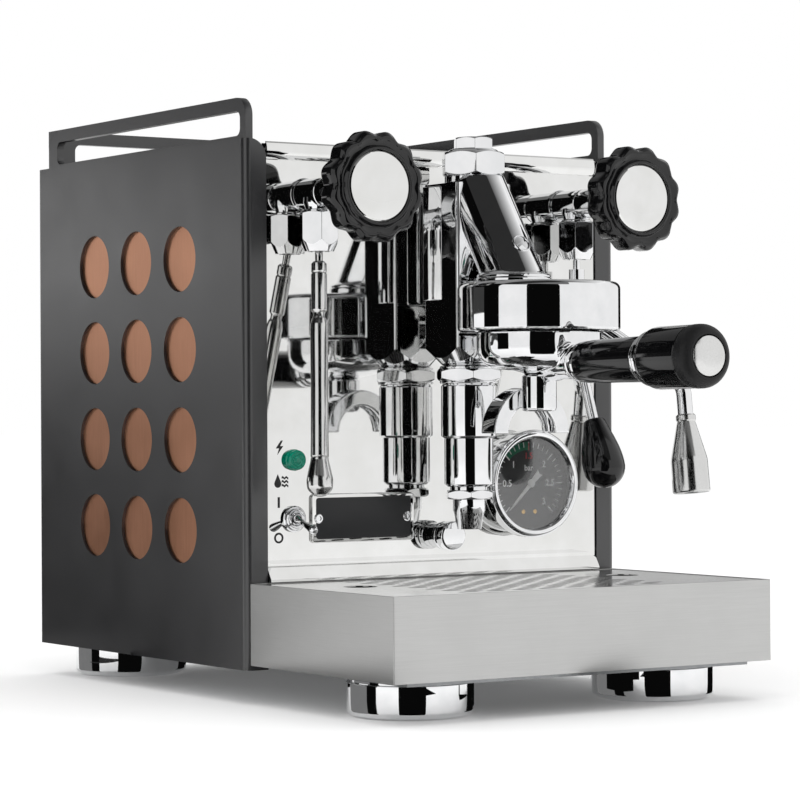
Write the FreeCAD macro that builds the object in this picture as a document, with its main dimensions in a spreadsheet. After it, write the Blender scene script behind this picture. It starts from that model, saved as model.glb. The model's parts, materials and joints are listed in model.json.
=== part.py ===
import FreeCAD, Part
import Sketcher
import math
import os
import re

# Espresso machine with a lever group, two valves, a drip tray and a cup tray.
# Millimetres. In the machine's own axes X runs to the right, Y to the back and Z up;
# x = 0 is the mid-plane, y = 0 the front of the side panels and z = 0 the floor.

SIZES = {
    # Place of the machine's mid-plane and front plane in the part's frame
    "mid_x": -13.4,
    "front_y": -8.1,
    # Clearances
    "slide_gap": 0.3,
    "lift_gap": 0.5,
    "turn_gap": 0.1,
    "hole_gap": 0.3,
    # Body and side panels, their top up from the seat
    "body_width": 274,
    "body_depth": 271.5,
    "panel_foot": 20.6,
    "panel_top": 13,
    "panel_sheet": 2,
    "flange_width": 14.7,
    "bend_radius": 4.5,
    "flange_corner": 11.5,
    "hole_dia": 40,
    "hole_first_y": 79.2,
    "hole_pitch_y": 55.8,
    "hole_first_z": 101,
    "hole_pitch_z": 55.3,
    "insert_sheet": 1,
    "insert_margin": 12,
    # Base, bulkhead, front and rear panels
    "base_foot": 21.4,
    "base_sheet": 2,
    "base_nose": 147,
    "base_upstand": 18,
    "upstand_inset": 12,
    "front_face": 1.15,
    "front_sheet": 1.5,
    "front_return": 13,
    "lip_bend": 80.8,
    "lip_reach": 3.2,
    "lip_drop": 6.9,
    "bulkhead_sheet": 2.5,
    "bulkhead_flange": 15,
    "rear_sheet": 1.5,
    "rear_shelf": 15,
    "seat_height": 322,
    "vent_length": 34,
    "vent_width": 4,
    "vent_pitch_x": 46,
    "vent_pitch_z": 12,
    "vent_first_z": 210,
    # Cup tray and cup rails, heights up from the seat, the rear end in from the back
    "cup_top": 10.5,
    "cup_sheet": 1.2,
    "cup_recess": 2.5,
    "cup_rim": 3,
    "band_foot": 1.2,
    "cup_slot_length": 46,
    "cup_slot_width": 4,
    "cup_slot_pitch": 16,
    "cup_slot_row": 66,
    "rail_inset": 3.5,
    "rail_plate": 5,
    "rail_front": 5,
    "rail_rear": 10.1,
    "rail_top": 38,
    "rail_bar": 8,
    "rail_sill": 15.3,
    "rail_front_bar": 6.5,
    "rail_rear_bar": 12,
    "rail_corner": 11,
    "rail_inner_corner": 4.5,
    "rail_boss_radius": 5,
    "rail_boss_end": 30,
    # Feet, the rear ones in from the back
    "foot_radius": 36.6,
    "foot_edge": 3,
    "foot_x": 88,
    "front_foot_y": -99,
    "rear_foot_y": 37,
    # Drip tray and grid
    "tray_width": 270,
    "tray_front": 153.5,
    "tray_rear_gap": 0.5,
    "tray_top": 72,
    "tray_sheet": 1.2,
    "ledge_width": 5,
    "ledge_sheet": 1.2,
    "grid_sheet": 1.2,
    "grid_sink": 0.3,
    "grid_rear": 8.5,
    "grid_field_half": 74,
    "grid_field_front": 138,
    "slot_length": 13,
    "slot_width": 4.4,
    "slot_pitch_x": 18.5,
    "slot_pitch_y": 17,
    "finger_radius": 10,
    "finger_x": 96,
    "finger_y": 60,
    # Group casting, the rear neck's top down from the seat
    "column_y": -33,
    "chamber_half": 16,
    "chamber_front": 50,
    "chamber_back": 15,
    "chamber_foot": 210,
    "chamber_top": 310,
    "chamber_edge": 7,
    "collar_top": 200.4,
    "rear_neck_half": 11,
    "rear_neck_foot": 239,
    "rear_neck_top": 15,
    "cap_y": -39,
    "cap_seat_radius": 17,
    "neck_radius": 18,
    "neck_top_y": -42,
    "neck_top_z": 308,
    "neck_foot_y": -80,
    "neck_foot_z": 252,
    "neck_root": 14.5,
    "ring_radius": 22,
    "ring_top": 254,
    "bell_y": -105,
    "bell_radius": 47.5,
    "bell_foot": 220,
    "bell_top": 248,
    "bell_edge": 4,
    "bell_mouth": 37.4,
    "bell_lip": 6,
    "bell_roof": 241.5,
    "entry_width": 28,
    "entry_turn": -45,
    "cam_z": 228,
    "cam_boss_radius": 14,
    "cam_boss_end": 30,
    "cam_shaft_radius": 6,
    # Group nuts, plugs and lower column
    "cap_across": 36,
    "cap_hex_foot": 315,
    "cap_hex_top": 329,
    "cap_dome_radius": 14,
    "cap_dome_top": 331,
    "jet_across": 22,
    "jet_top": 338,
    "nut_bevel": 2,
    "neck_plug_radius": 5,
    "neck_plug_head": 1.2,
    "neck_plug_sink": 10,
    "neck_plug_along": 12,
    "collar_across": 36,
    "collar_foot": 190,
    "upper_tube_radius": 16.75,
    "upper_tube_foot": 159.3,
    "tube_groove_radius": 13.5,
    "lower_tube_radius": 14.85,
    "lower_tube_top": 157.4,
    "lower_tube_foot": 127.8,
    "column_foot": 125.4,
    "column_neck_radius": 11.5,
    "drain_across": 27,
    "drain_nut_foot": 120,
    "nozzle_top_radius": 9.85,
    "nozzle_foot_radius": 7.5,
    "nozzle_foot": 101.8,
    "nozzle_bore": 3.5,
    # Brew lever
    "bush_across": 26,
    "bush_end": 44,
    "lever_x": 78,
    "lever_lean": 20,
    "lever_hub_radius": 9,
    "lever_hub_length": 17,
    "lever_rod_radius": 3.3,
    "lever_rod_end": 76,
    "lever_knob_start": 65,
    "lever_knob_length": 43,
    "lever_knob_neck": 7.4,
    "lever_knob_radius": 12.5,
    # Gasket and screen
    "gasket_inner": 29.5,
    "gasket_outer": 37,
    "gasket_foot": 233.2,
    "screen_radius": 28.6,
    "screen_foot": 236,
    # Portafilter
    "bowl_radius": 36.5,
    "bowl_foot": 198,
    "bowl_top": 219.4,
    "bowl_edge": 12,
    "rim_radius": 34.5,
    "rim_top": 232,
    "bowl_floor": 203,
    "ear_reach": 41.5,
    "ear_gap": 1.1,
    "ear_width": 20,
    "ear_foot": 226.3,
    "ear_height": 4,
    "basket_radius": 30,
    "basket_wall": 0.8,
    "basket_flange": 33.6,
    "basket_foot": 206,
    "spout_nut_top": 194,
    "spout_neck_radius": 8.5,
    "spout_radius": 10,
    "spout_foot": 173,
    "arch_setback": 14,
    "arch_depth": 14,
    "arch_outer": 27,
    "arch_inner": 17,
    "arch_base": 160,
    "channel_depth": 3,
    "channel_width": 8,
    "handle_rise": 0.8,
    "handle_z": 200.3,
    "lug_radius": 9.5,
    "lug_start": 24,
    "ferrule_start": 37.5,
    "ferrule_end": 45.6,
    "ferrule_radius": 10.6,
    "grip_radius": 12.6,
    "grip_end": 101.5,
    "ring_end": 108,
    "ring_radius_handle": 15.5,
    "front_grip_radius": 17.4,
    "front_grip_end": 144.5,
    "end_collar_end": 155.7,
    "end_collar_edge": 6,
    "dome_radius": 11,
    "dome_rise": 2.5,
    "spigot_radius": 5,
    # Valves, knobs and wands; valves down from the seat, nuts down from the valves,
    # the ball and its seat up from the foot of the nut, the wands' bends and tips down from the ball
    "valve_x": 95.5,
    "valve_z": 19.5,
    "valve_radius": 9,
    "valve_end": 40,
    "valve_tail_radius": 6,
    "valve_tail_end": 22,
    "outlet_y": -15.5,
    "outlet_radius": 8.2,
    "bonnet_across": 27,
    "bonnet_end": 57.5,
    "nut_across": 21.3,
    "nut_top": 10.8,
    "nut_foot": 23.7,
    "nut_taper": 7,
    "nut_taper_radius": 9,
    "nut_mouth": 6.6,
    "nut_seat": 3,
    "ball_radius": 7.4,
    "ball_gap": 0.6,
    "ball_z": 6.8,
    "wand_neck": 2.25,
    "stem_radius": 3.9,
    "knob_back": 58.5,
    "knob_hub": 13,
    "knob_hub_length": 4,
    "knob_socket": 8,
    "knob_radius": 31.5,
    "knob_front": 82,
    "knob_edge": 5,
    "scallop_radius": 7.5,
    "scallop_sink": 3,
    "knob_cap_radius": 20.7,
    "knob_cap_sink": 2.5,
    "knob_cap_rise": 1,
    "steam_tip_x": -112.2,
    "steam_tip_y": -42,
    "steam_tip_z": 150.8,
    "wand_start": 13,
    "upper_wand_radius": 4.75,
    "upper_wand_end": 44,
    "wand_joint_radius": 3.6,
    "sleeve_start": 47,
    "sleeve_radius": 5.25,
    "sleeve_end": 131,
    "steam_tip_radius": 8,
    "tip_nose_radius": 4,
    "tip_swell": 13.8,
    "tip_band": 17.3,
    "water_tube_radius": 4.9,
    "water_knee_z": 38.8,
    "water_bend": 16,
    "water_drop_x": 152,
    "water_drop_y": -51,
    "water_drop_z": 84.8,
    "water_end_y": -53.4,
    "water_end_z": 104.8,
    "water_collar_radius": 6.4,
    "water_collar": 4,
    "water_cone": 26,
    "water_tip_radius": 11.8,
    "water_tip_length": 47,
    # Gauge
    "gauge_x": 60.5,
    "gauge_z": 128,
    "gauge_can_radius": 30,
    "gauge_bezel_radius": 33.5,
    "gauge_back": 9,
    "gauge_front": 20,
    "gauge_lip": 1.4,
    "gauge_window": 27.9,
    "gauge_tail_radius": 8,
    "gauge_tail": 14,
    "dial_sheet": 1,
    "dial_radius": 29.3,
    "glass_sheet": 1.5,
    "glass_radius": 30.7,
    "needle_length": 22,
    "needle_tail": 7,
    "needle_width": 1.6,
    "needle_sheet": 0.6,
    "needle_height": 13.6,
    "needle_hub": 3,
    "spindle_radius": 0.8,
    "needle_rest": 45,
    # Switch, lamp, badge and outlet cap, the upper rear screws down from the seat
    "switch_x": -104,
    "switch_z": 109.4,
    "switch_nut_across": 15,
    "switch_nut": 3,
    "switch_radius": 5.5,
    "switch_length": 5.5,
    "switch_mouth": 4.6,
    "switch_pivot": 3.5,
    "switch_ball": 3.2,
    "toggle_radius": 1.6,
    "toggle_tip_radius": 2.8,
    "toggle_length": 19,
    "toggle_drop": 17.5,
    "lamp_z": 144.5,
    "lamp_radius": 6.5,
    "lamp_length": 4.4,
    "lamp_tail_radius": 5,
    "fitting_tail": 12,
    "badge_left": -92,
    "badge_right": -18.5,
    "badge_foot": 94.6,
    "badge_top": 124,
    "badge_sheet": 2,
    "badge_frame": 2.2,
    "badge_sink": 0.6,
    "badge_screw_inset": 5.5,
    "screw_radius": 2.2,
    "screw_head": 1,
    "screw_shank": 1.2,
    "rear_screw_x": 112,
    "rear_screw_foot": 60,
    "rear_screw_top": 32,
    "outlet_cap_z": 97,
    "outlet_cap_radius": 9,
    "outlet_cap_front": 17,
    "outlet_cap_neck": 7.5,
    # Inside the casing; boiler and shelf down from the seat, pump and tank in from the back,
    # the tank's front behind the boiler and the shelf's in front of the tank
    "boiler_radius": 55,
    "boiler_half": 95,
    "boiler_wall": 2,
    "boiler_y": 92,
    "boiler_z": 100,
    "boiler_dome": 10,
    "boss_radius": 8,
    "boss_front": 30,
    "boss_rise": 26,
    "element_flange_radius": 28,
    "element_flange": 6,
    "element_rod_radius": 4,
    "element_rod_length": 150,
    "element_rod_gap": 16,
    "element_port_radius": 22,
    "pipe_radius": 4,
    "pipe_bend": 14,
    "stand_x": 60,
    "stand_width": 60,
    "stand_sheet": 3,
    "shelf_z": 194,
    "shelf_half": 100,
    "shelf_front": 5,
    "shelf_sheet": 2,
    "tank_half": 85,
    "tank_front": 23,
    "tank_rear": 21.5,
    "tank_height": 178,
    "tank_wall": 2.5,
    "pump_x": 52,
    "pump_y": 57.5,
    "pump_coil": 50,
    "pump_radius": 17,
    "pump_length": 96,
    "pump_foot": 8,
    "control_width": 90,
    "control_depth": 60,
    "control_height": 42,
    "control_x": -52,
    "inlet_x": -75,
    "inlet_z": 60,
    "inlet_width": 28,
    "inlet_height": 22,
    "inlet_flange": 5,
    "inlet_flange_sheet": 2,
    "inlet_depth": 24,
    "inlet_wall": 2,
}

HOLE_COLUMNS = 3
HOLE_ROWS = 4
KNOB_LOBES = 12
VENT_COLUMNS = 4
VENT_ROWS = 6
CUP_SLOTS = 13
CUP_SLOT_ROWS = 3
GRID_COLUMNS = 8
GRID_ROWS = 8
FLAT_COUNT = 6

TOWARD = {
    "up": ((0, 0, 1), 0),
    "down": ((1, 0, 0), 180),
    "front": ((1, 0, 0), 90),
    "back": ((1, 0, 0), -90),
    "right": ((0, 1, 0), 90),
    "left": ((0, 1, 0), -90),
}

doc = FreeCAD.newDocument("espresso_machine")
sheet = doc.addObject("Spreadsheet::Sheet", "Sizes")
for row, (alias, number) in enumerate(SIZES.items(), 1):
    sheet.set(f"A{row}", alias)
    sheet.set(f"B{row}", str(number))
    sheet.setAlias(f"B{row}", alias)
doc.recompute()

pieces = []
places = {}


def cells(text):
    """Expression text with each size's name written as its cell."""
    return re.sub(r"[a-z_]\w*", lambda m: "Sizes." + m[0] if m[0] in SIZES else m[0], str(text))


def value(text):
    """Number that an expression of sizes comes to."""
    return float(sheet.evalExpression(cells(text)))


def tie(obj, **sizes):
    """Bind properties of an object to expressions of sizes."""
    for prop, text in sizes.items():
        obj.setExpression(prop, cells(text))
    return obj


def base(obj, x, y, z):
    """Bind the place of an object to expressions of sizes."""
    places[obj.Name] = (x, y, z)
    for key, text in zip("xyz", (x, y, z)):
        obj.setExpression(f".Placement.Base.{key}", cells(text))
    return obj


def turn(obj, axis, angle):
    """Turn an object about an axis through its own base point."""
    obj.Placement.Rotation = FreeCAD.Rotation(FreeCAD.Vector(*axis), value(angle))
    if not isinstance(angle, (int, float)):
        obj.setExpression(".Placement.Rotation.Angle", cells(angle))
    return obj


def put(obj, x="0", y="0", z="0", toward="up"):
    """Place an object with its own Z axis pointing one of the six ways."""
    turn(obj, *TOWARD[toward])
    return base(obj, x, y, z)


def box(name, size, x="0", y="0", z="0"):
    """Box from its least corner."""
    obj = doc.addObject("Part::Box", name)
    tie(obj, Length=size[0], Width=size[1], Height=size[2])
    return base(obj, x, y, z)


def slab(name, half, depth, height, y, z):
    """Box centred on the mid-plane, from its front lower edge."""
    return box(name, (f"2 * ({half})", depth, height), f"-({half})", y, z)


def rod(name, radius, length, x="0", y="0", z="0", toward="up"):
    """Cylinder that runs one of the six ways from the middle of one end."""
    obj = tie(doc.addObject("Part::Cylinder", name), Radius=radius, Height=length)
    return put(obj, x, y, z, toward)


def cone(name, start, end, length, x="0", y="0", z="0", toward="up"):
    """Cone from its start radius to its end radius."""
    obj = tie(doc.addObject("Part::Cone", name), Radius1=start, Radius2=end, Height=length)
    return put(obj, x, y, z, toward)


def ball(name, radius, x="0", y="0", z="0"):
    """Sphere about a point."""
    return base(tie(doc.addObject("Part::Sphere", name), Radius=radius), x, y, z)


def hexagon(name, across, length, x="0", y="0", z="0", toward="up"):
    """Six-sided bar measured across its flats."""
    obj = doc.addObject("Part::Prism", name)
    obj.Polygon = FLAT_COUNT
    tie(obj, Circumradius=f"({across}) / 2 / cos(30)", Height=length)
    return put(obj, x, y, z, toward)


def fuse(name, *parts):
    """One solid from several that meet."""
    obj = doc.addObject("Part::MultiFuse", name)
    obj.Shapes = list(parts)
    obj.Refine = True
    return obj


def cut(name, solid, *tools):
    """Solid with the tools' room taken out."""
    obj = doc.addObject("Part::Cut", name)
    obj.Base = solid
    obj.Tool = tools[0] if len(tools) == 1 else group(name + "_tools", *tools)
    return obj


def overlap(name, one, other):
    """Room that two solids share."""
    obj = doc.addObject("Part::Common", name)
    obj.Base = one
    obj.Tool = other
    return obj


def group(name, *parts):
    """Separate solids kept together."""
    obj = doc.addObject("Part::Compound", name)
    obj.Links = list(parts)
    return obj


def soften(name, solid, radius, pick):
    """Solid with the edges that pick chooses rounded."""
    doc.recompute()
    obj = doc.addObject("Part::Fillet", name)
    obj.Base = solid
    edges = [i for i, edge in enumerate(solid.Shape.Edges, 1) if pick(edge)]
    obj.Edges = [(i, value(radius), value(radius)) for i in edges]
    return obj


def near(number, text):
    """Whether a measured number is the size that an expression comes to."""
    return abs(number - value(text)) < 0.01


def is_round(edge, radius=None):
    """Whether an edge is a circle, of one radius if given."""
    if edge.Degenerated or not isinstance(edge.Curve, Part.Circle):
        return False
    return radius is None or near(edge.Curve.Radius, radius)


def ring_edge(height, radius=None):
    """Test for a circular edge about Z at a height, of one radius if given."""
    return lambda edge: is_round(edge, radius) and near(edge.Curve.Center.z, height)


def outline(body, plane, points):
    """Closed sketch through points on one of the body's own planes."""
    drawing = body.newObject("Sketcher::SketchObject", body.Name + "_sketch")
    own = [f for f in body.Origin.OriginFeatures if f.Role == plane][0]
    drawing.AttachmentSupport = [(own, "")]
    drawing.MapMode = "FlatFace"
    spots = [FreeCAD.Vector(value(a), value(b), 0) for a, b in points]
    count = len(points)
    for i in range(count):
        drawing.addGeometry(Part.LineSegment(spots[i], spots[(i + 1) % count]))
    for i in range(count):
        drawing.addConstraint(Sketcher.Constraint("Coincident", i, 2, (i + 1) % count, 1))
    for i, point in enumerate(points):
        for kind, text in zip(("DistanceX", "DistanceY"), point):
            dim = drawing.addConstraint(Sketcher.Constraint(kind, -1, 1, i, 1, value(text)))
            drawing.setExpression(f"Constraints[{dim}]", cells(text))
    return drawing


def circles(body, plane, spots, radius):
    """Sketch of equal circles on one of the body's own planes."""
    drawing = body.newObject("Sketcher::SketchObject", body.Name + "_circles")
    own = [f for f in body.Origin.OriginFeatures if f.Role == plane][0]
    drawing.AttachmentSupport = [(own, "")]
    drawing.MapMode = "FlatFace"
    up = FreeCAD.Vector(0, 0, 1)
    for a, b in spots:
        middle = FreeCAD.Vector(value(a), value(b), 0)
        i = drawing.addGeometry(Part.Circle(middle, up, value(radius)))
        for kind, text in (("DistanceX", a), ("DistanceY", b)):
            dim = drawing.addConstraint(Sketcher.Constraint(kind, -1, 1, i, 3, value(text)))
            drawing.setExpression(f"Constraints[{dim}]", cells(text))
        dim = drawing.addConstraint(Sketcher.Constraint("Radius", i, value(radius)))
        drawing.setExpression(f"Constraints[{dim}]", cells(radius))
    return drawing


def new_body(name):
    """Empty body."""
    return doc.addObject("PartDesign::Body", name)


def turned(name, profile, x="0", y="0", z="0", toward="up"):
    """Body turned about its own Z axis from points of radius and height."""
    body = new_body(name)
    drawing = outline(body, "XZ_Plane", profile)
    feature = body.newObject("PartDesign::Revolution", name + "_turn")
    feature.Profile = drawing
    feature.ReferenceAxis = (drawing, ["V_Axis"])
    feature.Angle = 360
    return put(body, x, y, z, toward)


def padded(name, plane, points, length, x="0", y="0", z="0", both_ways=False):
    """Body padded square to a plane from its outline."""
    body = new_body(name)
    feature = body.newObject("PartDesign::Pad", name + "_pad")
    feature.Profile = outline(body, plane, points)
    tie(feature, Length=length)
    if both_ways:
        feature.SideType = "Symmetric"
    return base(body, x, y, z)


def pierce(body, drawing):
    """Cut a sketch through the whole of its body, both ways."""
    feature = body.newObject("PartDesign::Pocket", body.Name + "_pierce")
    feature.Profile = drawing
    feature.SideType = "Symmetric"
    feature.Type = "ThroughAll"
    return feature


def rounded(body, radius, pick):
    """Round the edges of a body that pick chooses."""
    doc.recompute()
    tip = body.Tip
    names = [f"Edge{i}" for i, edge in enumerate(tip.Shape.Edges, 1) if pick(edge)]
    feature = body.newObject("PartDesign::Fillet", body.Name + "_round")
    feature.Base = (tip, names)
    tie(feature, Radius=radius)
    return body


def tube(name, radius, points, bend):
    """Round bar along straight runs joined by tangent bends."""
    spots = [FreeCAD.Vector(*[value(c) for c in point]) for point in points]
    edges = []
    start = spots[0]
    for before, corner, after in zip(spots, spots[1:], spots[2:]):
        back = (before - corner).normalize()
        ahead = (after - corner).normalize()
        half = back.getAngle(ahead) / 2
        reach = value(bend) / math.tan(half)
        middle = (back + ahead).normalize() * (value(bend) / math.sin(half) - value(bend))
        entry = corner + back * reach
        leave = corner + ahead * reach
        edges.append(Part.LineSegment(start, entry).toShape())
        edges.append(Part.Arc(entry, corner + middle, leave).toShape())
        start = leave
    edges.append(Part.LineSegment(start, spots[-1]).toShape())
    path = Part.Wire(edges)
    ring = Part.Wire(Part.Circle(spots[0], spots[1] - spots[0], value(radius)).toShape())
    obj = doc.addObject("Part::Feature", name)
    obj.Shape = path.makePipeShell([ring], True, False)
    return obj


def piece(label, obj):
    """Name a finished sub-part and set it in the part's frame."""
    x, y, z = places.get(obj.Name, ("0", "0", "0"))
    base(obj, f"mid_x + ({x})", f"front_y + ({y})", z)
    obj.Label = label
    pieces.append(obj)
    return obj


def both(name, make):
    """Two like solids, left and right, kept as one node."""
    return piece(name, group(name, make("left", -1), make("right", 1)))


# Named places worked out from the sizes
WALL = "(body_width / 2 - panel_sheet)"
BASE_TOP = "(base_foot + base_sheet)"
FRONT_BACK = "(front_face + front_sheet)"
BULKHEAD_BACK = "(front_face + front_sheet + bulkhead_sheet)"
FRONT_HALF = "(body_width / 2 - flange_width - hole_gap)"
BULKHEAD_HALF = f"({FRONT_HALF} - front_sheet - hole_gap)"
REAR_INNER = "(body_depth - panel_sheet - rear_sheet)"
RAIL_OUTER = "(body_width / 2 - rail_inset)"
RAIL_INNER = "(body_width / 2 - rail_inset - rail_plate)"
TRAY_FOOT = f"({BASE_TOP} + slide_gap)"
GRID_TOP = "(tray_top - grid_sink)"
LEDGE_TOP = f"({GRID_TOP} - grid_sheet)"
CUP_TOP = "(seat_height + cup_top)"
BAND_FOOT = "(seat_height + band_foot)"
RAIL_TOP = "(seat_height + rail_top)"
RAIL_SILL = "(seat_height + rail_sill)"
PANEL_TOP = "(seat_height + panel_top)"
REAR_SCREW_TOP = "(seat_height - rear_screw_top)"
REAR_NECK_TOP = "(seat_height - rear_neck_top)"
VALVE_Z = "(seat_height - valve_z)"
NUT_TOP = f"({VALVE_Z} - nut_top)"
NUT_FOOT = f"({NUT_TOP} - nut_foot)"
NUT_SEAT = f"({NUT_FOOT} + nut_seat)"
BALL_Z = f"({NUT_FOOT} + ball_z)"
BOILER_Z = "(seat_height - boiler_z)"
SHELF_Z = "(seat_height - shelf_z)"
RAIL_REAR = "(body_depth - rail_rear)"
REAR_FOOT_Y = "(body_depth - rear_foot_y)"
PUMP_Y = "(body_depth - pump_y)"
TANK_FRONT = "(boiler_y + boiler_radius + tank_front)"
TANK_REAR = "(body_depth - tank_rear)"
SHELF_FRONT = f"({TANK_FRONT} - shelf_front)"
WATER_KNEE_Z = f"({BALL_Z} - water_knee_z)"
WATER_DROP_Z = f"({BALL_Z} - water_drop_z)"
WATER_END_Z = f"({BALL_Z} - water_end_z)"
WAND_STEPS = ("(steam_tip_x + valve_x)", "(steam_tip_y - outlet_y)", "(-steam_tip_z)")
WAND_RUN = "sqrt(" + " + ".join(step + " ^ 2" for step in WAND_STEPS) + ")"


def side_panel(side, sign):
    """Folded side panel with its flanges and its field of round holes."""
    half = f"{sign} * body_width / 2"
    wall = f"{sign} * {WALL}"
    edge = f"{sign} * (body_width / 2 - flange_width)"
    plan = [(half, "0"), (edge, "0"), (edge, "panel_sheet"), (wall, "panel_sheet"),
            (wall, "body_depth - panel_sheet"), (edge, "body_depth - panel_sheet"),
            (edge, "body_depth"), (half, "body_depth")]
    name = side + "_side_panel"
    body = padded(name, "XY_Plane", plan, f"{PANEL_TOP} - panel_foot", z="panel_foot")
    spots = [(f"hole_first_y + {i} * hole_pitch_y", f"hole_first_z + {j} * hole_pitch_z - panel_foot")
             for i in range(HOLE_COLUMNS) for j in range(HOLE_ROWS)]
    pierce(body, circles(body, "YZ_Plane", spots, "hole_dia / 2"))

    def upright(x, y):
        return lambda e: (near(e.CenterOfMass.x, x) and near(e.CenterOfMass.y, y)
                          and near(e.Length, f"{PANEL_TOP} - panel_foot"))

    def corner(e):
        middle = e.CenterOfMass
        return (near(middle.x, edge) and near(middle.z, f"{PANEL_TOP} - panel_foot")
                and near(e.Length, "panel_sheet"))

    for y in ("0", "body_depth"):
        rounded(body, "bend_radius", upright(half, y))
    for y in ("panel_sheet", "body_depth - panel_sheet"):
        rounded(body, "bend_radius - panel_sheet", upright(wall, y))
    rounded(body, "flange_corner", corner)
    return piece(name, body)


def copper_insert(side, sign):
    """Sheet that closes the side panel's holes from inside."""
    x = WALL if sign < 0 else f"({WALL} - insert_sheet)"
    edge = "(hole_dia / 2 + insert_margin)"
    size = ("insert_sheet", f"{HOLE_COLUMNS - 1} * hole_pitch_y + 2 * {edge}",
            f"{HOLE_ROWS - 1} * hole_pitch_z + 2 * {edge}")
    return box(side + "_insert", size, f"{sign} * {x}", f"hole_first_y - {edge}", f"hole_first_z - {edge}")


def base_plate():
    """Folded floor that carries everything, with a nose under the drip tray."""
    back = "bend_radius + slide_gap"
    rear = "body_depth - bend_radius - slide_gap"
    plan = [(f"-{FRONT_HALF}", "-base_nose"), (FRONT_HALF, "-base_nose"), (FRONT_HALF, back),
            (WALL, back), (WALL, rear), (f"-{WALL}", rear), (f"-{WALL}", back), (f"-{FRONT_HALF}", back)]
    floor = padded("base_floor", "XY_Plane", plan, "base_sheet", z="base_foot")
    size = ("base_sheet", "body_depth - 2 * upstand_inset", "base_upstand")
    left = box("base_left", size, f"-{WALL}", "upstand_inset", BASE_TOP)
    right = box("base_right", size, f"{WALL} - base_sheet", "upstand_inset", BASE_TOP)
    return piece("base_plate", fuse("base_plate", floor, left, right))


def panel_holes():
    """Tools for the holes that the front fittings pass through."""
    back = f"-({BULKHEAD_BACK} + fitting_tail)"
    length = f"2 * ({BULKHEAD_BACK} + fitting_tail)"
    spots = {
        "steam_hole": ("-valve_x", VALVE_Z, "valve_tail_radius"),
        "water_hole": ("valve_x", VALVE_Z, "valve_tail_radius"),
        "gauge_hole": ("gauge_x", "gauge_z", "gauge_tail_radius"),
        "lamp_hole": ("switch_x", "lamp_z", "lamp_tail_radius"),
        "switch_hole": ("switch_x", "switch_z", "switch_radius"),
        "cap_hole": ("0", "outlet_cap_z", "valve_tail_radius"),
    }
    return [rod(name, f"{radius} + hole_gap", length, x, back, z, "back")
            for name, (x, z, radius) in spots.items()]


def front_panel(holes):
    """Polished front sheet with side returns and a lip over the drip tray."""
    profile = [("front_face", f"{BAND_FOOT} - lift_gap"), (FRONT_BACK, f"{BAND_FOOT} - lift_gap"),
               (FRONT_BACK, "lip_bend - front_sheet"), ("-lip_reach", "lip_bend - lip_drop - front_sheet"),
               ("-lip_reach", "lip_bend - lip_drop"), ("front_face", "lip_bend")]
    face = padded("front_face_sheet", "YZ_Plane", profile, f"2 * {FRONT_HALF}", both_ways=True)
    size = ("front_sheet", "front_return - front_sheet", "seat_height - lip_bend")
    sides = [box("front_return_left", size, f"-{FRONT_HALF}", FRONT_BACK, "lip_bend"),
             box("front_return_right", size, f"{FRONT_HALF} - front_sheet", FRONT_BACK, "lip_bend")]
    window = slab("group_window", "rear_neck_half + hole_gap", "2 * front_return",
                  f"{REAR_NECK_TOP} - rear_neck_foot + 2 * hole_gap", "-front_return",
                  "rear_neck_foot - hole_gap")
    shanks = badge_spots("front_shank", "screw_shank + hole_gap", "front_return", "-front_sheet", "back")
    blank = fuse("front_blank", face, *sides)
    return piece("front_panel", cut("front_panel", blank, window, *holes, *shanks))


def front_bulkhead(holes):
    """Stiff plate behind the front panel that carries the group and the valves."""
    back = f"{BULKHEAD_BACK} + bulkhead_flange"
    profile = [(FRONT_BACK, BASE_TOP), (back, BASE_TOP), (back, f"{BASE_TOP} + bulkhead_sheet"),
               (BULKHEAD_BACK, f"{BASE_TOP} + bulkhead_sheet"),
               (BULKHEAD_BACK, "seat_height - bulkhead_sheet"), (back, "seat_height - bulkhead_sheet"),
               (back, "seat_height"), (FRONT_BACK, "seat_height")]
    blank = padded("bulkhead_blank", "YZ_Plane", profile, f"2 * {BULKHEAD_HALF}", both_ways=True)
    shanks = badge_spots("bulkhead_shank", "screw_shank + hole_gap", "front_return", "-front_sheet", "back")
    return piece("front_bulkhead", cut("front_bulkhead", blank, *holes, *shanks))


def rear_panel():
    """Rear sheet with vents, an inlet opening and a shelf under the cup tray."""
    half = "(body_width / 2 - bend_radius - slide_gap)"
    profile = [(REAR_INNER, BASE_TOP), ("body_depth - panel_sheet", BASE_TOP),
               ("body_depth - panel_sheet", "seat_height"), (f"{REAR_INNER} - rear_shelf", "seat_height"),
               (f"{REAR_INNER} - rear_shelf", "seat_height - rear_sheet"),
               (REAR_INNER, "seat_height - rear_sheet")]
    blank = padded("rear_blank", "YZ_Plane", profile, f"2 * {half}", both_ways=True)
    depth = "3 * rear_sheet"
    front = f"{REAR_INNER} - rear_sheet"
    vents = [box(f"vent_{i}_{j}", ("vent_length", depth, "vent_width"),
                 f"({i} - {VENT_COLUMNS / 2}) * vent_pitch_x + (vent_pitch_x - vent_length) / 2",
                 front, f"vent_first_z + {j} * vent_pitch_z")
             for i in range(VENT_COLUMNS) for j in range(VENT_ROWS)]
    inlet = box("inlet_opening", ("inlet_width + 2 * hole_gap", depth, "inlet_height + 2 * hole_gap"),
                "inlet_x - inlet_width / 2 - hole_gap", front, "inlet_z - inlet_height / 2 - hole_gap")
    shanks = [rod(f"rear_shank_{i}_{j}", "screw_shank + hole_gap", depth, x, front, z, "back")
              for i, x in enumerate(("-rear_screw_x", "rear_screw_x"))
              for j, z in enumerate(("rear_screw_foot", REAR_SCREW_TOP))]
    return piece("rear_panel", cut("rear_panel", blank, inlet, *vents, *shanks))


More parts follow.
